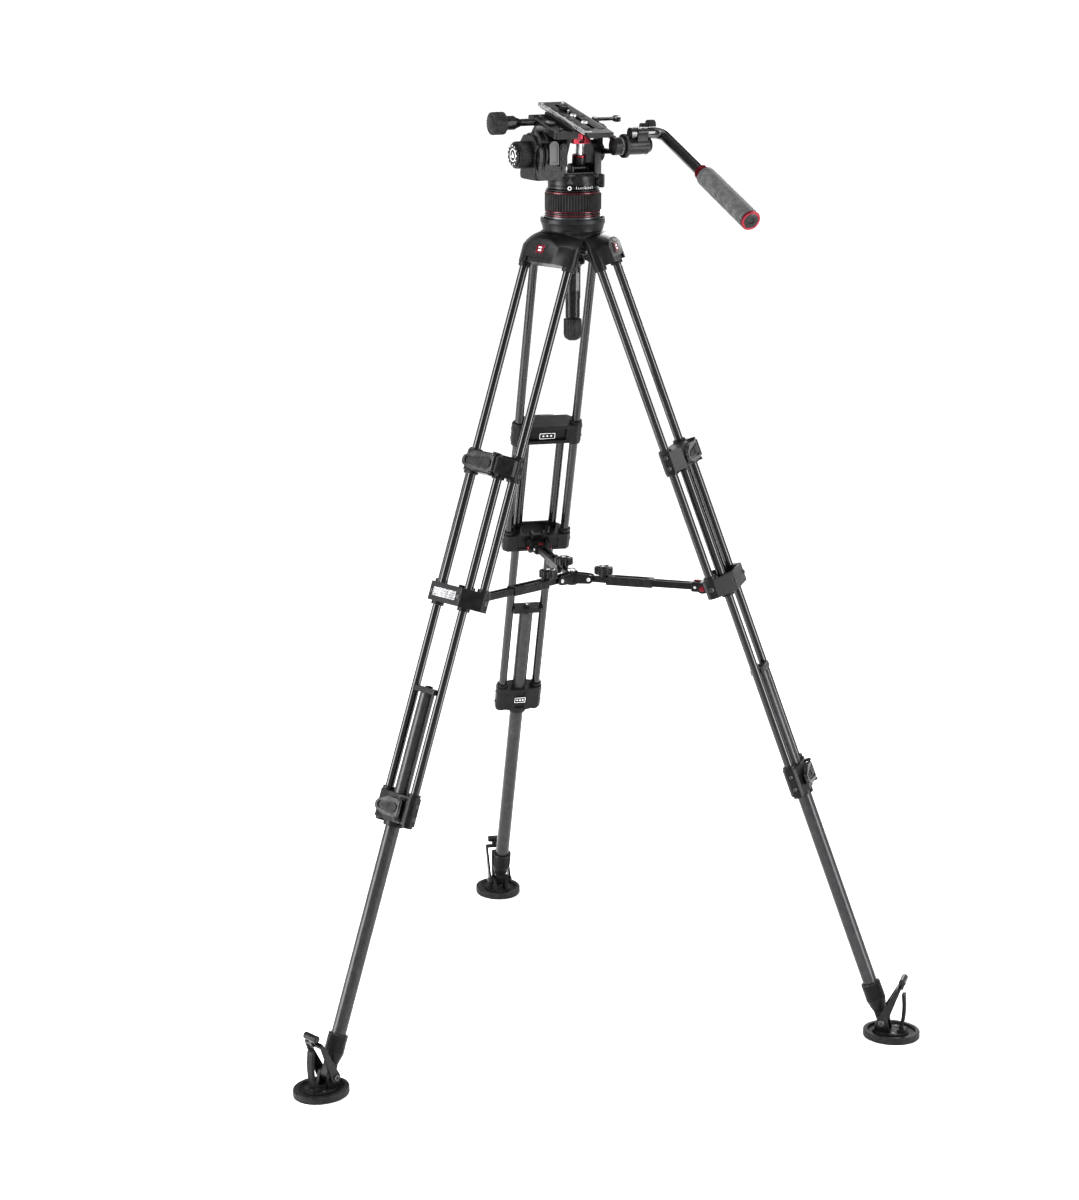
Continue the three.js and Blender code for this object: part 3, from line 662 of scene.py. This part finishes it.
def foot(k):
    body = f"leg_{k}_foot"
    build = builder(body + "_", FOOT[k])
    rim = shaped(prism(oval(16, 0, 52.3, 45.8, 96), -32, -18.6),
                 [prism(oval(16, 0, 43.5, 37, 96), -23, -10)], 3.6)
    crest = soften(prism(oval(14, 0, 34, 26, 96), -23.5, -20), 1.2)
    buckle = soften(block(27, 44, -12, 12, -23.5, -14.5, 3), 1.4)
    build("shoe", body, RUBBER, [rim, crest, buckle], ["pad"])
    build("ears", body, CASTING,
          both(lambda s: [soften(lug(0, 0, 10.5, [(-16, -22.5), (15, -22.5)],
                                     *sorted((s * 9.5, s * 17))), 1.0)]))
    build("bolts", body, BLACK_STEEL,
          both(lambda s: [cap(5.6, s * 22.9, s * 2.6, "Y"),
                          rod(6.4, *sorted((s * 16.8, s * 18.9)), axis="Y"),
                          moved(cap(3.0, -20.2, 1.6), 22, s * 18)])
          + [rod(3.9, -23, 23, axis="Y")])
    lean = turn("Y", 24)
    arm = circle(0, 0, 10, steps=32) + circle(0, 70, 4.2, steps=32)
    arms = both(lambda s: [moved(soften(prism(hull(arm), -2.1, 2.1, "Y"), 0.9), 0, s * 20.9)])
    neck = [soften(block(-4, 4, -23, 23, 68, 76, 3.5), 1.8),
            soften(block(-4, 4, -9, 9, 70, 84, 3), 1.4),
            moved(rod(6.6, -17, 17, 48, "Y", 2.0), 0, 0, 87)]
    build("handle", body, HOUSING, [carried(solid, lean) for solid in arms + neck])
    section = rounded([(-3.4, -8), (3.4, -8), (3.4, 8), (-3.4, 8)], 2.6)
    strap = sweep([(31, 0, -20), (35, 0, -8), (37.5, 0, 6), (38.5, 0, 20), (38.5, 0, 34),
                   (37.5, 0, 47), (37, 0, 53)], section)
    build("strap", body, RUBBER, [strap])
    build("strap_stud", body, BLACK_STEEL,
          [carried(cap(4.4, 4.2, 3.0, "X"), lean @ shift(0, 0, 72))])


for key in LEG_AZIMUTH:
    leg(key)
    foot(key)

# ---- spreader -------------------------------------------------------------------------------
HUB = WORLD @ shift(0, 0, ARM_Z)
cheeks = [carried(soften(lug(33.6, 0, 8.4, [(0, -10), (0, 10)], *sorted((s * 4.4, s * 9.4))), 0.8),
                  turn("Z", a)) for a in LEG_AZIMUTH.values() for s in (1, -1)]
core = lathe([(0, -13), (9, -13), (11, -11), (11, 11), (9.5, 13), (0, 13)])
piece("spreader_hub_casting", "spreader_hub", HUB, CASTING, cheeks + [core], ["spreader_hub"])
piece("spreader_hub_nuts", "spreader_hub", HUB, STEEL,
      [cap(7.5, 12.6, 4.4)]
      + [carried(cap(3.6, s * 9.2, s * 2.0, "Y"), turn("Z", a) @ shift(34, 0, 0))
         for a in LEG_AZIMUTH.values() for s in (1, -1)])
for key, place in ARM.items():
    body = "spreader_inner_arm_" + key
    build = builder(body, place)
    channel = shaped(block(67, 153, -11, 11, -8, 8, 2, "X"),
                     [block(70, 160, -9.4, 9.4, -6.4, 6.4),
                      prism(box_outline(80, 145, -4, 4, 3.9), 0, 20)], 0.8)
    tongue = soften(lug(34, 0, 5.5, [(69, -6), (69, 6)], -4, 4, steps=32), 0.6)
    build("_channel", body, HOUSING, [channel, tongue], [""])
    knob = soften(prism(flutes(17.3, 1.6, 20), 11, 23.5), 0.9)
    neck = rod(8, 5.5, 11.5)
    top = lathe([(0, 23), (12.5, 23), (12.5, 24.6), (10.5, 25.4), (8, 24.6), (0, 24.2)])
    build("_knob", body, HOUSING, [moved(solid, 60) for solid in (knob, neck, top)])
    build("_knob_nut", body, STEEL, [moved(cap(4.4, 24.1, 2.2), 60)])
    body = "spreader_outer_arm_" + key
    build = builder(body, place)
    beam = shaped(block(143.6, 231, -9, 9, -6, 6, 1.6, "X"),
                  [prism(box_outline(156, 223, -3.4, 3.4, 3.3), 1.5, 9)], 0.5)
    end = shaped(block(227, 247, -13.5, 13.5, -9, 9, 3, "X"), [block(240, 252, -7, 7, -5, 5)], 1.2)
    barrel = moved(rod(9, -13.5, 13.5, axis="Y", lip=1.2), 249.13)
    build("_beam", body, CASTING, [beam, end, barrel], [""])
    build("_button", body, RED, [moved(rod(5.6, 8.6, 11.2), 236)])
    build("_screws", body, STEEL, both(lambda s: [moved(cap(2.6, s * 13.3, s * 1.4, "Y"), 234)]))

# ---- bowl and levelling parts ---------------------------------------------------------------
def bowl_arc(radius, degrees):
    """Profile points on a ball about the levelling point, in degrees from straight down."""
    return [(radius * math.sin(RAD(a)), BALL_Z - radius * math.cos(RAD(a))) for a in degrees]


profile = [(0, 1424), (20, 1424.4), (27, 1429), (30, 1436), (30, 1446), (60, 1441), (64, 1440.5),
           (66, 1443), (66.6, 1448), (65.6, 1453), (62, 1458), (58.5, 1461.5), (54.5, 1464.4),
           (53.6, 1465.6), (54.4, 1470), (56.4, 1477), (57.4, 1478.6), (58, 1480), (58, 1486),
           (57.2, 1486.9), (53.8, 1487), (53, 1486.2), (53, 1478), (0, 1478)]
seat = lathe(bowl_arc(SEAT_R, range(0, 91, 6)) + [(SEAT_R, BALL_Z + 20), (0, BALL_Z + 20)], 96)
pockets = [carried(block(-9, 45, -68.5, 68.5, -50, 20.4),
                   turn("Z", a) @ shift(HINGE_R, 0, HINGE_Z) @ turn("Y", -LEG_TILT))
           for a in LEG_AZIMUTH.values()]
bowl = shaped(lathe(profile, 96), [*pockets, seat, rod(16, 1415, 1450)], 0.8)
lugs = [carried(soften(lug(HINGE_R, HINGE_Z, 11, [(28, 1430), (28, 1444)], -19.8, 19.8), 1.0),
                turn("Z", a)) for a in LEG_AZIMUTH.values()]
build = riding("crown", WORLD)
build("crown_casting", CASTING, [bowl] + lugs, ["crown"])
build("crown_hinge_pins", BLACK_STEEL,
      [carried(rod(4.2, -22, 22, axis="Y"), turn("Z", a) @ shift(HINGE_R, 0, HINGE_Z))
       for a in LEG_AZIMUTH.values()])
ball = ([(0, 1398), (6, 1398), (6, 1437)] + bowl_arc(BALL_R, range(8, 80, 6))
        + [(49.8, 1483), (BALL_R, 1485), (BALL_R, 1490.2), (49.2, 1491), (36, 1491), (36, 1545),
           (0, 1545)])
piece("head_base_ball", "head_base", WORLD, BLACK_STEEL, [lathe(ball, 96)], ["head_base"])
ring = bowl_arc(64.5, range(14, 24, 2)) + bowl_arc(69.5, range(22, 12, -2))
piece("levelling_ring_washer", "levelling_ring", WORLD, STEEL, [lathe(ring, 64, ring=True)],
      ["levelling_ring"])
sleeve = lathe([(6.3, 1308), (12.2, 1308), (13, 1309), (13, 1341), (14, 1343), (14, 1398),
                (16, 1402), (21.5, 1405), (21.5, 1412), (18, 1417), (6.3, 1417)], 64, ring=True)
grooves = [tube(16, 13.4, z, z + 1.2) for z in (1350, 1354, 1392, 1396)]
build = riding("tie_down_handle", WORLD)
build("tie_down_sleeve", HOUSING, [shaped(sleeve, grooves)], ["tie_down_handle"])
build("tie_down_window", PANEL,
      [carried(soften(block(13.4, 14.9, -3.6, 3.6, 1357, 1390, 1.5, "X"), 0.5),
               turn("Z", -68))])
knob = soften(prism(flutes(16.5, 1.7, 18), 1276, 1306), 1.0)
build("tie_down_knob", RUBBER,
      [knob, lathe([(0, 1267.4), (8, 1267.4), (13, 1270.5), (15.4, 1274), (15.6, 1277),
                    (0, 1277)])])

# ---- head below the tilt axis ---------------------------------------------------------------
band = shaped(prism(flutes(BAND_R, 2.2, 60), 1501, 1530.5), [rod(NECK_BORE, 1495, 1540, 96)], 0.5)
piece("pan_drag_band", "pan_drag_ring", HEAD, RUBBER, [band], ["pan_drag_ring"])
for part, material, hoops in (
        ("red_rings", RED_BAND, [(BAND_R, 1491.4, 1494.6), (BAND_R, 1498, 1500.8),
                                 (49.6, 1530.7, 1534.2)]),
        ("foot", HOUSING, [(49.2, 1494.7, 1497.9)]), ("top", HOUSING, [(48, 1535.3, 1537.6)])):
    piece("pan_drag_" + part, "pan_drag_ring", HEAD, material,
          [tube(radius, NECK_BORE, *span, 96) for radius, *span in hoops])

housing = lathe([(0, 1545.4), (36.6, 1545.4), (36.6, 1538), (43.6, 1538), (45, 1539.4),
                 (45, 1543.8), (44.2, 1544.4), (44.2, 1545.4), (45, 1546), (45, 1559),
                 (41, 1565), (0, 1565)], 96)
shell = shaped(lug(0, TILT_Z, 37.8, [(-27, 1556), (27, 1556)], -84, -30.6, "X", 96),
               [moved(tube(42, 36.6, x, x + 1.4, 96, "X"), z=TILT_Z)
                for x in (-78, -73.5, -40)], 1.6)
shield = rounded([(-33, -43.5), (33, -43.5), (27, -8), (34, 18), (18, 34), (-18, 34), (-34, 18),
                  (-27, -8)], 9)
shield = moved(shaped(prism(shield, -89.5, -83.4, "X"), [rod(20, -95, -80, 64, "X")], 1.6),
               z=TILT_Z)
column = soften(lug(0, TILT_Z, 22, [(-22, 1556), (22, 1556)], 30.4, 45.6, "X", 64), 2.0)
eyes = [soften(lug(0, TILT_Z - CRANK, 9, [(-10, 1562), (10, 1562)], x, x + 5, "X", 32), 0.7)
        for x in (-7.4, 23.4)]
build = riding("pan_body", HEAD)
build("pan_housing", HOUSING,
      [housing, shell, shield, column,
       soften(block(-31, 31, -26, 26, 1560, 1567.5, 5), 1.5), *eyes], ["pan_body"])
build("pan_axle", STEEL,
      [moved(rod(7, -31, -20, axis="X"), z=TILT_Z),
       moved(rod(7, 45, 56.5, axis="X"), z=TILT_Z),
       moved(cap(13, 45.4, 1.4, "X"), z=TILT_Z)])
panel = hull(circle(-57.4, 1616, 9.2, 0, 180, 40) + [(-66.6, 1584), (-48.2, 1584)])
inlay = hull(circle(-57.4, 1616, 6, 0, 180, 40) + [(-63.4, 1588), (-51.4, 1588)])
build("pan_arch_panel", PANEL,
      [shaped(prism(panel, -40.5, -30, "Y"), [prism(inlay, -42, -39.3, "Y")], 0.6)])
build("pan_hub_block", CASTING,
      [soften(prism(hull(circle(-39.4, 1613, 8, 0, 180, 40) + [(-47.4, 1580), (-31.4, 1580)]),
                    -41, -28, "Y"), 1.2)])
build("pan_hub_screws", HOUSING,
      [moved(cap(5, -40.8, -1.8, "Y"), -39.4, 0, z) for z in (1612, 1594)])
MARKED = HEAD @ turn("Z", BACK + 90)
build = riding("pan_body", MARKED)
build("pan_pointer", PANEL,
      [soften(prism([(-11, 1549), (1, 1549), (-5, 1561)], -45.5, -43, "Y"), 0.3)])
build("pan_marks", MARK,
      [moved(tube(3.6, 2.3, -45.9, -44, 40, "Y", 0.4), -6, 0, 1541.6),
       *[carried(block(-0.4, 0.4, -45.3, -44, 1539.8, 1543.2 if i % 4 else 1544.6),
                 turn("Z", 8 + 5 * i)) for i in range(9)]])
LOCK = HEAD @ turn("Z", -48)
build = riding("pan_lock_lever", LOCK)
build("pan_lock_shell", HOUSING,
      [moved(rod(8, 45.5, 51, axis="X"), 0, 0, 1551),
       soften(block(49, 58, -6, 6, 1541, 1565, 4, "X"), 1.6)], ["pan_lock_lever"])
build("pan_lock_stripe", PANEL, [soften(block(57.4, 58.5, -2.4, 2.4, 1545, 1561, 1.5, "X"), 0.3)])

DRUM = HEAD @ shift(0, 0, TILT_Z)
build = riding("tilt_drag_knob", DRUM)
build("tilt_drag_grip", RUBBER,
      [soften(prism(flutes(24, 2.0, 32), -112, -90, "X"), 0.9),
       rod(19, -91, -86.8, 64, "X")], ["tilt_drag_knob"])
build("tilt_drag_rim", HOUSING, [rod(23.2, -114.6, -112, 72, "X")])
build("tilt_drag_face", HOUSING,
      [lathe([(0, -118), (13, -118), (14, -119), (18.5, -119), (20, -117.5), (20, -114),
              (0, -114)], 72, "X")])
build("tilt_drag_marks", MARK,
      [tube(11.4, 10, -118.5, -117.5, 64, "X", 0.2)]
      + [carried(block(-119.3, -118.5, 14.6, 18, -0.6, 0.6), turn("X", 30 * i))
         for i in range(12)]
      + [prism([(-5, -4), (5, -4), (0, 5.5)], -118.6, -117.5, "X")])
arc = circle(0, 0, 46, 112, 150, 120) + circle(0, 0, 39.3, 150, 112, 120)
window = circle(0, 0, 47, 118, 144, 90) + circle(0, 0, 38, 144, 118, 90)
piece("tilt_lock_loop", "tilt_lock_lever", DRUM, LEVER,
      [shaped(prism(arc, -84, -67.5, "X"), [prism(window, -80, -71.5, "X")], 1.0)],
      ["tilt_lock_lever"])

# ---- tilting cradle -------------------------------------------------------------------------
arch = rod(ARCH_R, -80, -29.6, 96, "X")


def front():
    """Clearance over the spring's red block."""
    return block(-20.8, 70, -70, -13, 20, 70, 4)


platform = shaped(block(-66, 34, -52, 60, 41, 53.5, 5),
                  [block(-60, -36, -46, 54, 52, 60, 3), arch, front()], 1.0)
flange = shaped(block(30, 55, -50, 22, 41, 49.5, 3), [front()], 1.2)
jaws = [soften(block(-33, -27, -52, 60, 53, 58, 1), 0.8),
        shaped(block(27, 34, -52, 60, 53, 58, 1), [front()], 0.8)]
left = shaped(lug(0, 0, 20, [(34, 42), (-30, 42)], -29.2, -21, "X", 64),
              [rod(8, -40, 0, axis="X")], 1.2)
right = rounded([(14, -8), (20, 42), (-50, 42), (-66, 14), (-50, 11)], 3)
gap = rounded([(-6, 9), (0, 36), (-42, 36), (-52, 19), (-44, 17)], 3)
right = shaped(prism(right, 46.8, 55, "X"), [prism(gap, 40, 60, "X"), rod(8, 40, 60, axis="X")],
               1.2)
disc = shaped(rod(17, 46.8, 55, 64, "X"), [rod(7.3, 40, 60, axis="X")])
seat = moved(rod(15.6, 46.8, 60, 64, "X"), 0, *ROSETTE)
crank = soften(block(7, 14, -6, 6, 24, 42, 2, "X"), 0.8)
shoulder = circle(0, 0, 54, 32, 84, 120) + circle(0, 0, ARCH_R, 84, 32, 120)
build = riding("tilt_cradle", TILT_FRAME)
build("cradle_shoulder", HOUSING, [soften(prism(shoulder, -63, -33, "X"), 1.2)])
build("cradle_casting", CASTING,
      [platform, flange, *jaws, left, right, disc, seat], ["tilt_cradle"])
build("cradle_crank", RED, [crank])
build("cradle_rosette", BLACK_STEEL,
      [moved(soften(prism(flutes(16, 1.3, 30), 60, 65.8, "X"), 0.4), 0, *ROSETTE)])
build("cradle_screws", BLACK_STEEL,
      [moved(cap(3.6, 53.3, 2.4), -48, y) for y in (-36, 44)]
      + [moved(cap(3.2, 49.3, 2.2), 50, y) for y in (-6, 16)]
      + [moved(rod(4, 5.5, 16, axis="X"), z=CRANK), cap(6, 54.8, 2.2, "X")])
build("cradle_icon", PANEL,
      [shaped(prism(box_outline(-26, -10, 44, 51, 1.5), -66.5, -65.8, "X"),
              [prism(box_outline(-24.6, -11.4, 45.4, 49.6, 1), -68, -64, "X")]),
       moved(rod(1.4, -66.5, -65.8, 20, "X", 0.1), 0, -18, 47.5)])
bubble = lathe([(0, 53), (8.5, 53), (8.5, 55.4), (7.6, 56), (6.4, 55.6), (0, 55.2)], 48)
build("cradle_level", PANEL, [moved(bubble, -48, 4)])

PLATE = TILT_FRAME @ shift(0, 0, -0.6)
comb = [(26, 101.8), (-26, 101.8)]
for i in range(TEETH):
    y = 98 - TOOTH_PITCH * i
    comb += [(-26, y), (-22.4, y - 0.6), (-22.4, y - 3.0), (-26, y - 3.6)]
comb += [(-26, -93), (26, -93)]
plate = shaped(prism(comb, 58.6, 63.5), [prism(box_outline(-4.5, 4.5, -66, 84, 4.4), 60, 66)],
               0.35)
foot_rail = soften(block(-22.5, 22.5, -93, 102, 54.2, 58.7), 0.6)
build = riding("slide_plate", PLATE)
build("slide_plate_body", CASTING, [plate, foot_rail], ["slide_plate"])
# Pale ticks along the comb: scale marks, and also a painted highlight for the lit tops of the
# teeth.
build("slide_plate_scale", MARK,
      [block(-25.7, -22.6 if i % 5 else -18, y + 0.2, y + 1.8, 63.2, 63.8)
       for i, y in ((i, 94 - TOOTH_PITCH * i) for i in range(TEETH))])
# Bright steel teeth along the comb's edge: a painted highlight standing in for the lit comb.
build("slide_plate_teeth", STEEL,
      [soften(block(-28.8, -25.2, 95 - TOOTH_PITCH * i, 97.8 - TOOTH_PITCH * i, 59, 62.9), 0.4)
       for i in range(TEETH)])
build("slide_plate_pads", RUBBER,
      [soften(block(*sorted((s * 8, s * 20)), y, y + 62, 63.3, 64.1, 3), 0.3)
       for s in (1, -1) for y in (-70, 4)])
build("slide_plate_screws", STEEL,
      [moved(cap(6.2, 61, 4.6), 0, y) for y in (-30, 14)]
      + [moved(rod(2, 61, 68), 0, 34), moved(cap(3, 63.3, 1.2), 18, 92),
         moved(cap(3, 63.3, 1.2), -16, -86)])
build("slide_plate_knob", HOUSING,
      [moved(soften(prism(flutes(8.5, 0.9, 14), 63.6, 70.5), 0.6), 0, 52)])
hub = moved(lathe([(0, 50), (6.6, 50), (7, 50.6), (7, 59), (6, 60), (0, 60)]), 42, 8)
arm = soften(block(42, 84, 4.5, 11.5, 54, 59.5, 3), 1.2)
knob = moved(lathe([(0, 52), (7, 52), (8, 53.2), (8, 59), (6.6, 61), (0, 61.4)]), 84, 8)
build = riding("plate_lock_lever", TILT_FRAME)
build("plate_lock_arm", LEVER, [hub, arm], ["plate_lock_lever"])
build("plate_lock_end", GLOSS, [knob])
build("plate_lock_screw", STEEL, [moved(cap(4, 59.8, 1.8), 42, 8)])

SPRING = TILT_FRAME @ shift(0, 30, 49)
build = riding("counterbalance_knob", SPRING)
build("counterbalance_shaft", HOUSING, [rod(6.4, -97, -66.5, 48, "X")], ["counterbalance_knob"])
build("counterbalance_neck", HOUSING,
      [lathe([(0, -126.5), (12.4, -126.5), (12.4, -108), (11.6, -106.5), (7.4, -96), (6.6, -95),
              (0, -95)], 64, "X")])
build("counterbalance_head", RUBBER, [soften(prism(flutes(20, 1.8, 24), -151, -127, "X"), 1.0)])
build("counterbalance_end", HOUSING,
      [lathe([(0, -152.8), (10, -152.8), (12.5, -152.2), (14, -150.5), (0, -150.5)], 64, "X")])

# ---- counterbalance link --------------------------------------------------------------------
build = riding("piston_rod", ROD)
build("piston_block", RED,
      [shaped(block(-17, 17, -8, 8, -10, 9, 2, "Y"), [block(-4, 4, -9, 9, -7.6, 10)], 1.2)],
      ["piston_rod"])
build("piston_shaft", STEEL,
      [rod(6.8, -36.5, -9.5)] + both(lambda s: [cap(3, s * 16.8, s * 1.4, "X")]))
build = riding("piston_cylinder", CYLINDER)
build("piston_collar", RED, [tube(12.4, 8.4, 19.5, 23.8, 64, lip=0.8)])
build("piston_cone", HOUSING,
      [lathe([(0, 4), (9.5, 4), (12.3, 9), (12.3, 19.4), (8.4, 19.4), (8.4, 8), (0, 8)], 64),
       rod(7.2, -12.3, 12.3, 48, "X")], ["piston_cylinder"])

# ---- pan bar --------------------------------------------------------------------------------
def saddle():
    """Channel of the clamp that the bar lies in."""
    return moved(rod(10.7, 70, 130, 64, "X"), 0, 0, BAR_OFFSET)


build = riding("pan_bar", BAR)
build("bar_clamp_disc", HOUSING,
      [soften(prism(flutes(21, 0.7, 60), 66.4, 72.8, "X"), 0.6),
       shaped(rod(16, 72, 114, 72, "X"), [saddle()], 0.8),
       lathe([(0, 113), (15.6, 113), (12, 120), (0, 120)], 64, "X"),
       shaped(block(89, 109, -12.5, 12.5, 6, 31.5, 6, "X"),
              [saddle(), block(80, 116, -16, -8, 21.4, 22.6)], 1.8)], ["bar_clamp"])
build("bar_clamp_ribs", BLACK_STEEL,
      [shaped(tube(16.5, 14, x, x + 1.3, 72, "X"), [saddle()]) for x in (74.6, 111)])
build("bar_clamp_screws", BLACK_STEEL,
      [moved(cap(3.4, 31.3, 1.8), x, -6.5) for x in (93.5, 104.5)]
      + [cap(8, 119.8, 2, "X")])
build("bar_clamp_knob", RUBBER,
      [moved(soften(prism(flutes(9, 1.1, 12), 123, 137, "X"), 0.9), 0, 22, 30),
       moved(rod(4, 108, 124, 32, "X"), 0, 20, 30)])
fall = Vector((0, -math.cos(RAD(BAR_DROP)), -math.sin(RAD(BAR_DROP))))
corner = Vector((BAR_TURN_X, 0, BAR_OFFSET))
before, after = corner - Vector((BAR_BEND, 0, 0)), corner + fall * BAR_BEND
bend = [before.lerp(corner, t).lerp(corner.lerp(after, t), t) for t in (i / 14 for i in range(15))]
build("pan_bar_tube", GLOSS,
      [sweep([Vector((78, 0, BAR_OFFSET))] + bend
             + [corner + fall * (BAR_LENGTH - 4)], circle(0, 0, BAR_R, steps=48))], ["pan_bar"])
GRIP_END = BAR @ shift(*corner) @ turn("X", 90 + BAR_DROP)
start = BAR_LENGTH - GRIP_LENGTH
rings = []
for i in range(RIBS):
    h = start + 7 + i * RIB_PITCH
    rings += [(GRIP_R, h), (GRIP_R, h + 2.6), (GRIP_R - 0.8, h + 3.1), (GRIP_R - 0.8, h + 3.9)]
build = riding("pan_bar", GRIP_END)
build("pan_bar_grip", GRIP,
      [lathe([(BAR_R + 0.1, start), (GRIP_R - 2, start), (GRIP_R, start + 3)] + rings
             + [(GRIP_R, start + 164.5), (0, start + 164.5)], 72)])
build("pan_bar_collar", RED,
      [lathe([(BAR_R + 0.1, start - 15), (12.5, start - 15), (14.6, start - 12),
              (14.6, start - 2), (GRIP_R - 1, start + 0.4), (BAR_R + 0.1, start + 0.4)], 64,
             ring=True)])
build("pan_bar_end_ring", RED,
      [tube(GRIP_R - 0.2, 11, BAR_LENGTH - 4.6, BAR_LENGTH - 0.6, 72, lip=0.9)])
build("pan_bar_end_cap", HOUSING,
      [lathe([(0, BAR_LENGTH - 6), (14, BAR_LENGTH - 6), (14, BAR_LENGTH - 1),
              (12.5, BAR_LENGTH - 0.2), (6, BAR_LENGTH - 0.2), (5, BAR_LENGTH - 1.6),
              (0, BAR_LENGTH - 1.6)], 64)])

# ---- studio ---------------------------------------------------------------------------------
floor_mesh = bpy.data.meshes.new("floor")
flat = bmesh.new()
bmesh.ops.create_circle(flat, cap_ends=True, segments=96, radius=FLOOR_RADIUS)
flat.to_mesh(floor_mesh)
flat.free()
floor = add_object("floor", floor_mesh)
floor.location.z = FLOOR_Z
paper = Shader("floor_paper")
cloud = paper.noise(paper.node("TexCoord", "Object"), 3.0)
paper.put("Base Color", paper.mix(cloud, (0.965, 0.965, 0.965), (0.99, 0.99, 0.99)))
paper.put("Roughness", 0.9)
floor_mesh.materials.append(paper.material)

world = bpy.data.worlds.new("studio")
bpy.context.scene.world = world
sky = Nodes(world)
backdrop = sky.tree.nodes["Background"].inputs
rise = sky.node("SeparateXYZ", "Z", {"Vector": sky.node("TexCoord", "Generated")})
sky.fill(backdrop["Strength"], sky.remap(rise, 0.05, 0.45, 1.0, 0.15))
backdrop["Color"].default_value = (1, 1, 1, 1)
bpy.context.scene.view_settings.view_transform = "Standard"
bpy.context.scene.view_settings.look = "Medium High Contrast"


def softbox(name, azimuth, distance, height, size, watts):
    light = bpy.data.lights.new(name, "AREA")
    light.shape, light.size, light.size_y, light.energy = "RECTANGLE", size[0], size[1], watts
    lamp = add_object(name, light)
    at = WORLD @ turn("Z", CAMERA_TURN + azimuth) @ Vector((0, -distance / MM, height / MM))
    lamp.location = at * MM
    aim = (WORLD @ Vector((0, 0, 900))) * MM - lamp.location
    lamp.rotation_mode = "QUATERNION"
    lamp.rotation_quaternion = aim.to_track_quat("-Z", "Y")


softbox("strip_left", -68, 2.4, 1.4, (1.3, 2.8), 130)
softbox("strip_right", 62, 2.6, 1.4, (1.0, 2.8), 100)
softbox("top", -20, 1.4, 3.4, (1.2, 1.2), 30)
softbox("rim", 165, 3.0, 2.2, (0.7, 2.6), 45)
overhead = add_object("overhead", bpy.data.lights.new("overhead", "SUN"))
overhead.data.energy, overhead.data.angle = 2.4, RAD(75)
overhead.rotation_euler = (RAD(12), RAD(-8), 0)
